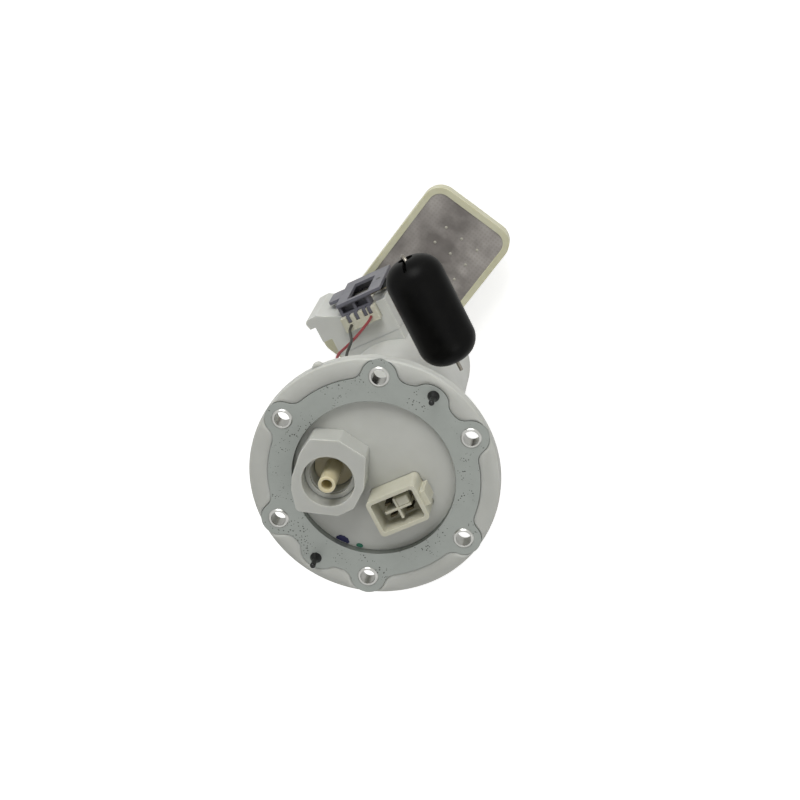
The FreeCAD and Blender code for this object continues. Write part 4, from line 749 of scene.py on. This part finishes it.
@dataclass
class TankFlange:
    """The white flange with its clamp ring, sleeves, pins and paint dots.

    Levels and angles are the CAD's: Z is 0 at the ring's outer face, and angles run in
    degrees from the X axis. crest_share is how much of the crest's strips lies on its
    top, and the rest rounds its lip. crest_lean brings its highest line nearer to the
    ring, and crest_fullness fills it out. The connector's block is placed in the
    connector's own axes. dot_crown is how much thicker a dab is in its middle.
    """

    rim_radius_mm: float = 52.4
    base_radius_mm: float = 44.3
    bolt_circle_mm: float = 45.0
    lobe_reach_mm: float = 52.4
    pin_lobe_reach_mm: float = 49.0
    pin_angles: Sequence[float] = (60.0, 240.0)
    pin_lobe_half_angle: float = 15.5
    pin_hold_mm: float = 3.2
    ring_level_mm: float = -1.0
    rim_level_mm: float = -0.5
    crest_rise_mm: float = 0.8
    crest_steps: int = 480
    crest_strips: int = 12
    crest_gap_mm: float = 0.1
    crest_sink_mm: float = 0.12
    crest_full_width_mm: float = 5.0
    crest_share: float = 0.8
    crest_lean: float = 1.05
    crest_fullness: float = 0.75
    crest_smoothing: float = 0.3
    lip_width_mm: float = 0.5
    lip_swell_mm: float = 0.56
    lip_drop_mm: float = 2.0
    tab_angle: float = 119.5
    tab_radius_mm: float = 2.4
    tab_round_mm: float = 0.8
    tab_circle_mm: float = 51.7
    tab_levels_mm: Pair = (-5.5, -2.3)
    connector_middle_mm: Pair = (12.1, -7.7)
    connector_turn: float = 30.0
    block_size_mm: Point = (5.2, 3.9, 6.0)
    block_middle_mm: Pair = (3.0, 2.4)
    block_top_mm: float = 9.3
    block_round_mm: float = 0.5
    dot_lift_mm: float = 0.06
    dot_crown: float = 3.0
    dot_edge_mm: float = 33.8
    dot_corners: int = 24
    dot_wobble: float = 0.05
    dot_wobble_step: float = 2.3
    dots: Sequence[PaintDot] = (
        PaintDot("blue_dot", Finishes.BLUE_PAINT, (-12.0, -31.0), (3.0, 2.3), -21.0),
        PaintDot("green_dot", Finishes.GREEN_PAINT, (-4.6, -32.6), (1.5, 1.1), -8.0),
    )

    def build(self) -> None:
        """Dresses the flange's nodes and adds the forms that ride on it."""
        dress_nodes(
            {
                "flange": Finishes.NYLON,
                "clamp_ring": Finishes.ZINC,
                "limiter_sleeves": Finishes.STEEL,
                "ring_pins": Finishes.BLACK,
                "flange_seal": Finishes.RUBBER,
                "port_ring": Finishes.NYLON,
                "outlet_stub": Finishes.STUB_IVORY,
                "connector_shell": Finishes.IVORY,
                "connector_blades": Finishes.DULL_BRASS,
                "spigot_seal": Finishes.RUBBER,
            }
        )
        ring = self.pressed_ring()
        self.rim_crest(ring)
        self.locating_tab()
        self.keying_block()
        for dot in self.dots:
            self.paint_dot(dot)

    def pressed_ring(self) -> bpy.types.Object:
        """Makes the clamp ring again, with lobes at its pins that reach less far than the CAD's.

        Returns:
            The new piece, which stands for the CAD ring.
        """
        mesh = bmesh.new()
        mesh.from_mesh(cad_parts["clamp_ring"].data)
        bmesh.ops.remove_doubles(mesh, verts=mesh.verts[:], dist=SAME_PLACE)
        base = self.base_radius_mm * MM
        reach = self.lobe_reach_mm - self.base_radius_mm
        share = (self.pin_lobe_reach_mm - self.base_radius_mm) / reach
        half_angle = math.radians(self.pin_lobe_half_angle)
        for pin in self.pin_angles:
            heading = Vector((math.cos(math.radians(pin)), math.sin(math.radians(pin))))
            centre = heading * self.bolt_circle_mm * MM
            for vertex in mesh.verts:
                place = vertex.co.xy
                near = place.length > base and place.angle(heading) < half_angle
                if near and (place - centre).length > self.pin_hold_mm * MM:
                    vertex.co.xy = place * ((base + (place.length - base) * share) / place.length)
        made = new_piece("pressed_ring", mesh, Finishes.ZINC, "module")
        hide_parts("clamp_ring")
        return made

    def rim_crest(self, ring: bpy.types.Object) -> bpy.types.Object:
        """Swells the flange's rim into the soft crest that stands round the ring.

        Args:
            ring: The clamp ring, whose outline the crest's inner foot follows.

        Returns:
            The new piece.
        """
        outline = BVHTree.FromObject(ring, bpy.context.evaluated_depsgraph_get())
        mesh = bmesh.new()
        bmesh.ops.create_grid(mesh, x_segments=self.crest_steps, y_segments=self.crest_strips, size=0.5)
        edge = self.rim_radius_mm - self.lip_width_mm
        ground = self.rim_level_mm - self.crest_sink_mm
        feet: Dict[int, float] = {}
        for vertex in mesh.verts:
            step = round((vertex.co.x + 0.5) * self.crest_steps)
            across = vertex.co.y + 0.5
            angle = math.tau * step / self.crest_steps
            heading = Vector((math.cos(angle), math.sin(angle), 0.0))
            if step not in feet:
                start = heading * OUTSIDE + Vector((0.0, 0.0, self.ring_level_mm * MM))
                feet[step] = outline.ray_cast(start, -heading)[0].xy.length / MM
            foot = min(feet[step] + self.crest_gap_mm, edge)
            room = min((edge - foot) / self.crest_full_width_mm, 1.0)
            swell = self.crest_rise_mm * room * room * (3 - 2 * room)
            if across < self.crest_share:
                # From the ring's edge over the crest, whose top lies a little nearer the ring.
                share = across / self.crest_share
                radius = foot + (edge - foot) * share
                turned = math.pi * min(share * self.crest_lean, 1.0)
                arch = math.sin(turned) ** self.crest_fullness if share else 0.0
                level = ground + (swell + self.crest_sink_mm) * arch + self.crest_sink_mm * share
            else:
                # A quarter round that closes the crest over the rim's edge.
                share = (across - self.crest_share) / (1 - self.crest_share)
                radius = edge + self.lip_swell_mm * math.sin(share * math.pi / 2)
                level = self.rim_level_mm - self.lip_drop_mm * (1 - math.cos(share * math.pi / 2))
            vertex.co = heading * radius * MM + Vector((0.0, 0.0, level * MM))
        bmesh.ops.remove_doubles(mesh, verts=mesh.verts[:], dist=SAME_PLACE)
        bmesh.ops.smooth_vert(
            mesh, verts=mesh.verts[:], factor=self.crest_smoothing, use_axis_z=True
        )
        bmesh.ops.recalc_face_normals(mesh, faces=mesh.faces[:])
        made = new_piece("rim_crest", mesh, Finishes.NYLON, "module")
        return made

    def locating_tab(self) -> bpy.types.Object:
        """Makes the rounded tab on the rim that sets the flange's turn in the tank.

        Returns:
            The new piece.
        """
        low, high = self.tab_levels_mm
        angle = math.radians(self.tab_angle)
        middle = Vector((math.cos(angle), math.sin(angle), 0.0)) * self.tab_circle_mm * MM
        middle.z = (low + high) / 2 * MM
        mesh = bmesh.new()
        bmesh.ops.create_cone(
            mesh,
            cap_ends=True,
            segments=32,
            radius1=self.tab_radius_mm * MM,
            radius2=self.tab_radius_mm * MM,
            depth=(high - low) * MM,
        )
        rims = [edge for edge in mesh.edges if edge.verts[0].co.z * edge.verts[1].co.z > 0]
        round_edges(mesh, rims, self.tab_round_mm)
        bmesh.ops.translate(mesh, verts=mesh.verts[:], vec=middle)
        made = new_piece("locating_tab", mesh, Finishes.NYLON, "module")
        return made

    def keying_block(self) -> bpy.types.Object:
        """Makes the raised block in one quarter of the connector's cross.

        Returns:
            The new piece.
        """
        mesh = bmesh.new()
        bmesh.ops.create_cube(mesh, size=1.0)
        bmesh.ops.scale(mesh, verts=mesh.verts[:], vec=[side * MM for side in self.block_size_mm])
        round_edges(mesh, mesh.edges[:], self.block_round_mm, segments=3)
        level = self.block_top_mm - self.block_size_mm[2] / 2
        middle = Vector((self.block_middle_mm[0], self.block_middle_mm[1], level)) * MM
        bmesh.ops.translate(mesh, verts=mesh.verts[:], vec=middle)
        turn_mesh(mesh, self.connector_turn)
        place = Vector((self.connector_middle_mm[0], self.connector_middle_mm[1], 0.0)) * MM
        bmesh.ops.translate(mesh, verts=mesh.verts[:], vec=place)
        made = new_piece("keying_block", mesh, Finishes.IVORY, "module")
        return made

    def paint_dot(self, dot: PaintDot) -> bpy.types.Object:
        """Lays one dab of inspection paint on the dome.

        Args:
            dot: The dab's size and place.

        Returns:
            The new piece.
        """
        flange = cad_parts["flange"]
        ground = BVHTree.FromObject(flange, bpy.context.evaluated_depsgraph_get())
        mesh = bmesh.new()
        bmesh.ops.create_circle(mesh, cap_ends=True, radius=1.0, segments=self.dot_corners)
        bmesh.ops.poke(mesh, faces=mesh.faces[:])
        size = (dot.radii_mm[0] * MM, dot.radii_mm[1] * MM, 1.0)
        bmesh.ops.scale(mesh, verts=mesh.verts[:], vec=size)
        turn_mesh(mesh, dot.turn_deg)
        for index, vertex in enumerate(mesh.verts):
            vertex.co *= 1 + self.dot_wobble * math.sin(index * self.dot_wobble_step)
            vertex.co += Vector((dot.middle_mm[0] * MM, dot.middle_mm[1] * MM, 0))
            vertex.co *= min(1.0, self.dot_edge_mm * MM / vertex.co.length)
            hit = ground.ray_cast(vertex.co + Vector((0, 0, OUTSIDE)), Vector((0, 0, -1)))[0]
            lift = self.dot_lift_mm if index < self.dot_corners else self.dot_lift_mm * self.dot_crown
            vertex.co.z = hit.z + lift * MM
        return new_piece(dot.name, mesh, dot.finish, "module")


@dataclass
class FilterBody:
    """The filter housing and all that is sealed inside it.

    valve_lift_mm is how far the check valve opens, as the record's joint says. Nothing reads it.
    """

    valve_lift_mm: float = 1.2

    def build(self) -> None:
        """Dresses the housing, the filter, the pump and the regulator."""
        dress_nodes(
            {
                "filter_housing": Finishes.ACETAL,
                "lower_cap": Finishes.ACETAL,
                "pump_cushion": Finishes.RUBBER,
                "upper_cushion": Finishes.RUBBER,
                "filter_element": Finishes.PAPER,
                "element_cap_upper": Finishes.ACETAL,
                "element_ring_lower": Finishes.ACETAL,
                "pump_can": Finishes.ZINC,
                "pump_end_cover": Finishes.BLACK,
                "pump_inlet_cover": Finishes.ALUMINIUM,
                "pump_middle_plate": Finishes.ALUMINIUM,
                "pump_bearings": Finishes.COPPER,
                "brushes": Finishes.CARBON,
                "motor_shaft": Finishes.STEEL,
                "armature": Finishes.STEEL,
                "commutator": Finishes.COPPER,
                "impeller": Finishes.BLACK,
                "magnets": Finishes.FERRITE,
                "check_valve_poppet": Finishes.BLACK,
                "check_valve_ring": Finishes.BRASS,
                "check_valve_spring": Finishes.WIRE,
                "regulator": Finishes.ZINC,
                "regulator_seal": Finishes.RUBBER,
                "regulator_clip": Finishes.STEEL,
            }
        )
        self.valve_spring()

    def valve_spring(self) -> bpy.types.Object:
        """Makes the check valve's spring again from the CAD spring, on a mesh of its own.

        Returns:
            The new piece, which stands for the CAD spring.
        """
        mesh = bmesh.new()
        mesh.from_mesh(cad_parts["check_valve_spring"].data)
        bmesh.ops.remove_doubles(mesh, verts=mesh.verts[:], dist=SAME_PLACE)
        made = new_piece("valve_spring", mesh, Finishes.WIRE, "module")
        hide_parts("check_valve_spring")
        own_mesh(made)
        return made


@dataclass
class LevelSender:
    """The level sender with its leads, its arm and the float.

    wing_mm is the wing's span along the sender's own axes, which sender_turn turns.
    """

    sender_turn: float = 30.0
    wing_mm: Sequence[Pair] = ((-14.2, -7.9), (51.0, 52.4), (-121.5, -106.5))
    wing_round_mm: float = 1.6

    def build(self) -> None:
        """Dresses the sender's nodes."""
        dress_nodes(
            {
                "sender_bracket": Finishes.ACETAL,
                "sender_housing": Finishes.GREY,
                "sender_plug": Finishes.IVORY,
                "resistor_card": Finishes.CERAMIC,
                "arm_hub": Finishes.BLACK,
                "wiper": Finishes.BRASS,
                "float_arm": Finishes.WIRE,
                "float": Finishes.CELL_RUBBER,
                "lead_terminals": Finishes.BRASS,
                "sender_lead_black": Finishes.BLACK_WIRE,
                "sender_lead_red": Finishes.RED_WIRE,
            }
        )
        self.plate_wing()

    def plate_wing(self) -> bpy.types.Object:
        """Makes the wing on the left of the sender's plate.

        Returns:
            The new piece.
        """
        mesh = bmesh.new()
        bmesh.ops.create_cube(mesh, size=1.0)
        size = [high - low for low, high in self.wing_mm]
        bmesh.ops.scale(mesh, verts=mesh.verts[:], vec=[length * MM for length in size])
        through = [edge for edge in mesh.edges if edge.verts[0].co.y * edge.verts[1].co.y < 0]
        round_edges(mesh, through, self.wing_round_mm)
        middle = Vector([(low + high) / 2 * MM for low, high in self.wing_mm])
        bmesh.ops.translate(mesh, verts=mesh.verts[:], vec=middle)
        turn_mesh(mesh, self.sender_turn)
        made = new_piece("plate_wing", mesh, Finishes.GREY, "module")
        return made


@dataclass
class Strainer:
    """The flat mesh strainer under the pump.

    Places are along the strainer's own axes. crown_mm is how far the mesh bulges away
    from its posts, lift_mm how far it stands off the CAD's flat mesh, and wander how
    unevenly it bulges, in waves of wander_waves radians a metre.
    """

    near_mm: float = 0.6
    far_mm: float = 42.7
    heel_mm: float = 13.8
    tip_mm: float = 76.2
    crown_mm: float = 0.9
    lift_mm: float = 0.3
    mesh_strips: Tuple[int, int] = (110, 76)
    dimple_mm: float = 4.2
    wander: float = 0.12
    wander_waves: Pair = (310.0, 270.0)
    stake_radius_mm: float = 0.75
    stake_flatness: float = 0.45
    post_rows: Sequence[float] = (9.55, 18.7, 27.85)
    post_columns: Sequence[float] = (17.35, 26.5, 35.65, 44.8, 53.95, 63.1)

    def build(self) -> None:
        """Dresses the strainer's nodes, quilts its upper mesh and adds the stakes."""
        self.quilted_mesh()
        dress_nodes(
            {
                "strainer_frame": Finishes.CREAM,
                "strainer_grommet": Finishes.RUBBER,
                "strainer_spacer": Finishes.ACETAL,
                "strainer_mesh_upper": Finishes.MESH,
                "strainer_mesh_lower": Finishes.MESH,
            }
        )
        self.stakes()

    def stakes(self) -> bpy.types.Object:
        """Makes the melted stakes that hold the upper mesh on its posts.

        Returns:
            The new piece.
        """
        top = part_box("strainer_mesh_upper")[1].z + self.lift_mm * MM
        mesh = bmesh.new()
        flat = Matrix.Diagonal((1.0, 1.0, self.stake_flatness, 1.0))
        for x in self.post_columns:
            for y in self.post_rows:
                place = Matrix.Translation((x * MM, y * MM, top)) @ flat
                bmesh.ops.create_icosphere(
                    mesh, subdivisions=2, radius=self.stake_radius_mm * MM, matrix=place
                )
        turn_mesh(mesh, STRAINER_TURN)
        made = new_piece("stakes", mesh, Finishes.STAKE, "module")
        return made

    def quilted_mesh(self) -> bpy.types.Object:
        """Makes the upper mesh, which bulges up between the posts that hold it down.

        Returns:
            The new piece, which stands for the flat CAD mesh.
        """
        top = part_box("strainer_mesh_upper")[1].z + self.lift_mm * MM
        mesh = bmesh.new()
        along, across = self.mesh_strips
        bmesh.ops.create_grid(mesh, x_segments=along, y_segments=across, size=0.5)
        size = ((self.tip_mm - self.heel_mm) * MM, (self.far_mm - self.near_mm) * MM, 1.0)
        middle = ((self.tip_mm + self.heel_mm) / 2 * MM, (self.far_mm + self.near_mm) / 2 * MM, top)
        bmesh.ops.scale(mesh, verts=mesh.verts[:], vec=size)
        bmesh.ops.translate(mesh, verts=mesh.verts[:], vec=middle)
        posts = [Vector((x * MM, y * MM)) for x in self.post_columns for y in self.post_rows]
        reach = self.dimple_mm * MM
        wave_x, wave_y = self.wander_waves
        for vertex in mesh.verts:
            nearest = min((vertex.co.xy - post).length for post in posts)
            rise = 1 - math.exp(-((nearest / reach) ** 2))
            drift = self.wander * math.sin(vertex.co.x * wave_x) * math.sin(vertex.co.y * wave_y)
            vertex.co.z += self.crown_mm * MM * (rise + drift * rise)
        turn_mesh(mesh, STRAINER_TURN)
        made = new_piece("quilted_mesh", mesh, Finishes.MESH, "module")
        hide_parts("strainer_mesh_upper")
        return made


@dataclass(frozen=True)
class Lamp:
    """One soft disc lamp: its place and width in metres, and its power in watts."""

    name: str
    place: Point
    width: float
    power: float


@dataclass
class Studio:
    """The camera of the photograph, soft lamps, a pale world and a pale floor.

    Places are in metres, and right, up and back are the camera's own axes.
    """

    camera_place: Point = (0.07726, 0.28681, 0.63502)
    right: Point = (0.990116, 0.056184, -0.128502)
    up: Point = (-0.098968, 0.929104, -0.356330)
    back: Point = (0.099372, 0.365526, 0.925482)
    lens_mm: float = 76.5
    sensor_mm: float = 36.0
    near_clip: float = 0.01
    lamp_target: Point = (0.0, 0.0, -0.05)
    lamps: Sequence[Lamp] = (
        Lamp("key", (-0.25, 1.25, 0.62), 0.9, 13.0),
        Lamp("fill", (0.9, -0.3, 0.9), 0.7, 2.6),
    )
    world_level: float = 0.4
    white: Colour = (1.0, 1.0, 1.0, 1.0)
    floor_level: float = -0.165
    floor_half: float = 3.0
    floor_colour: str = "f2f2f0"
    floor_glow: float = 0.55

    def build(self) -> None:
        """Builds the whole studio."""
        self.place_camera()
        self.light()
        self.world()
        self.floor()
        bpy.context.scene.view_settings.view_transform = "Standard"

    def place_camera(self) -> None:
        """Puts the camera where the photograph was taken from."""
        data = bpy.data.cameras.new("photo_camera")
        data.lens = self.lens_mm
        data.sensor_width = self.sensor_mm
        data.clip_start = self.near_clip
        camera = bpy.data.objects.new("photo_camera", data)
        bpy.context.scene.collection.objects.link(camera)
        turn = Matrix((self.right, self.up, self.back)).transposed()
        camera.matrix_world = Matrix.Translation(self.camera_place) @ turn.to_4x4()
        bpy.context.scene.camera = camera

    def light(self) -> None:
        """Adds the soft lamps, each aimed at the module's middle."""
        target = Vector(self.lamp_target)
        for lamp in self.lamps:
            data = bpy.data.lights.new(lamp.name, "AREA")
            data.shape = "DISK"
            data.size = lamp.width
            data.energy = lamp.power
            made = bpy.data.objects.new(lamp.name, data)
            made.location = lamp.place
            made.rotation_mode = "QUATERNION"
            made.rotation_quaternion = (target - Vector(lamp.place)).to_track_quat("-Z", "Y")
            bpy.context.scene.collection.objects.link(made)

    def world(self) -> None:
        """Lights the object at a plain level, and shows white where no surface is."""
        world = bpy.data.worlds.new("pale_room")
        world.use_nodes = True
        world.node_tree.nodes.clear()
        path = add_node(world, "LightPath").outputs
        seen = add_node(
            world,
            "Math",
            {"operation": "MAXIMUM"},
            {0: path["Is Camera Ray"], 1: path["Is Transmission Ray"]},
        )
        mirrored = add_node(
            world,
            "Math",
            {"operation": "MAXIMUM"},
            {0: seen.outputs[0], 1: path["Is Glossy Ray"]},
        )
        level = add_node(
            world,
            "MapRange",
            {"To Min": self.world_level, "To Max": 1.0},
            {"Value": mirrored.outputs[0]},
        )
        shade = add_node(
            world,
            "Background",
            {"Color": self.white},
            {"Strength": level.outputs[0]},
        )
        add_node(world, "OutputWorld", links={"Surface": shade.outputs[0]})
        bpy.context.scene.world = world

    def floor(self) -> None:
        """Lays a pale floor that a camera ray sees as white, save for its shadow."""
        mesh = bmesh.new()
        bmesh.ops.create_grid(mesh, x_segments=1, y_segments=1, size=self.floor_half)
        bmesh.ops.translate(mesh, verts=mesh.verts[:], vec=(0, 0, self.floor_level))
        data = bpy.data.meshes.new("pale_floor")
        mesh.to_mesh(data)
        mesh.free()
        floor = bpy.data.objects.new("pale_floor", data)
        bpy.context.scene.collection.objects.link(floor)
        made = new_material("matt_white_paper")
        path = add_node(made, "LightPath")
        pale = add_node(made, "BsdfDiffuse", {"Color": linear(self.floor_colour)})
        glow = add_node(made, "Emission", {"Color": self.white, "Strength": self.floor_glow})
        both = add_node(made, "AddShader", links={0: pale.outputs[0], 1: glow.outputs[0]})
        choice = add_node(
            made,
            "MixShader",
            links={0: path.outputs["Is Camera Ray"], 1: pale.outputs[0], 2: both.outputs[0]},
        )
        finish_surface(made, choice)
        data.materials.append(made)


def main() -> None:
    """Builds the dressed module, then the studio round it."""
    logging.basicConfig(level=logging.INFO, format="%(message)s")
    TankFlange().build()
    FilterBody().build()
    LevelSender().build()
    Strainer().build()
    Studio().build()


if __name__ == "__main__":
    main()
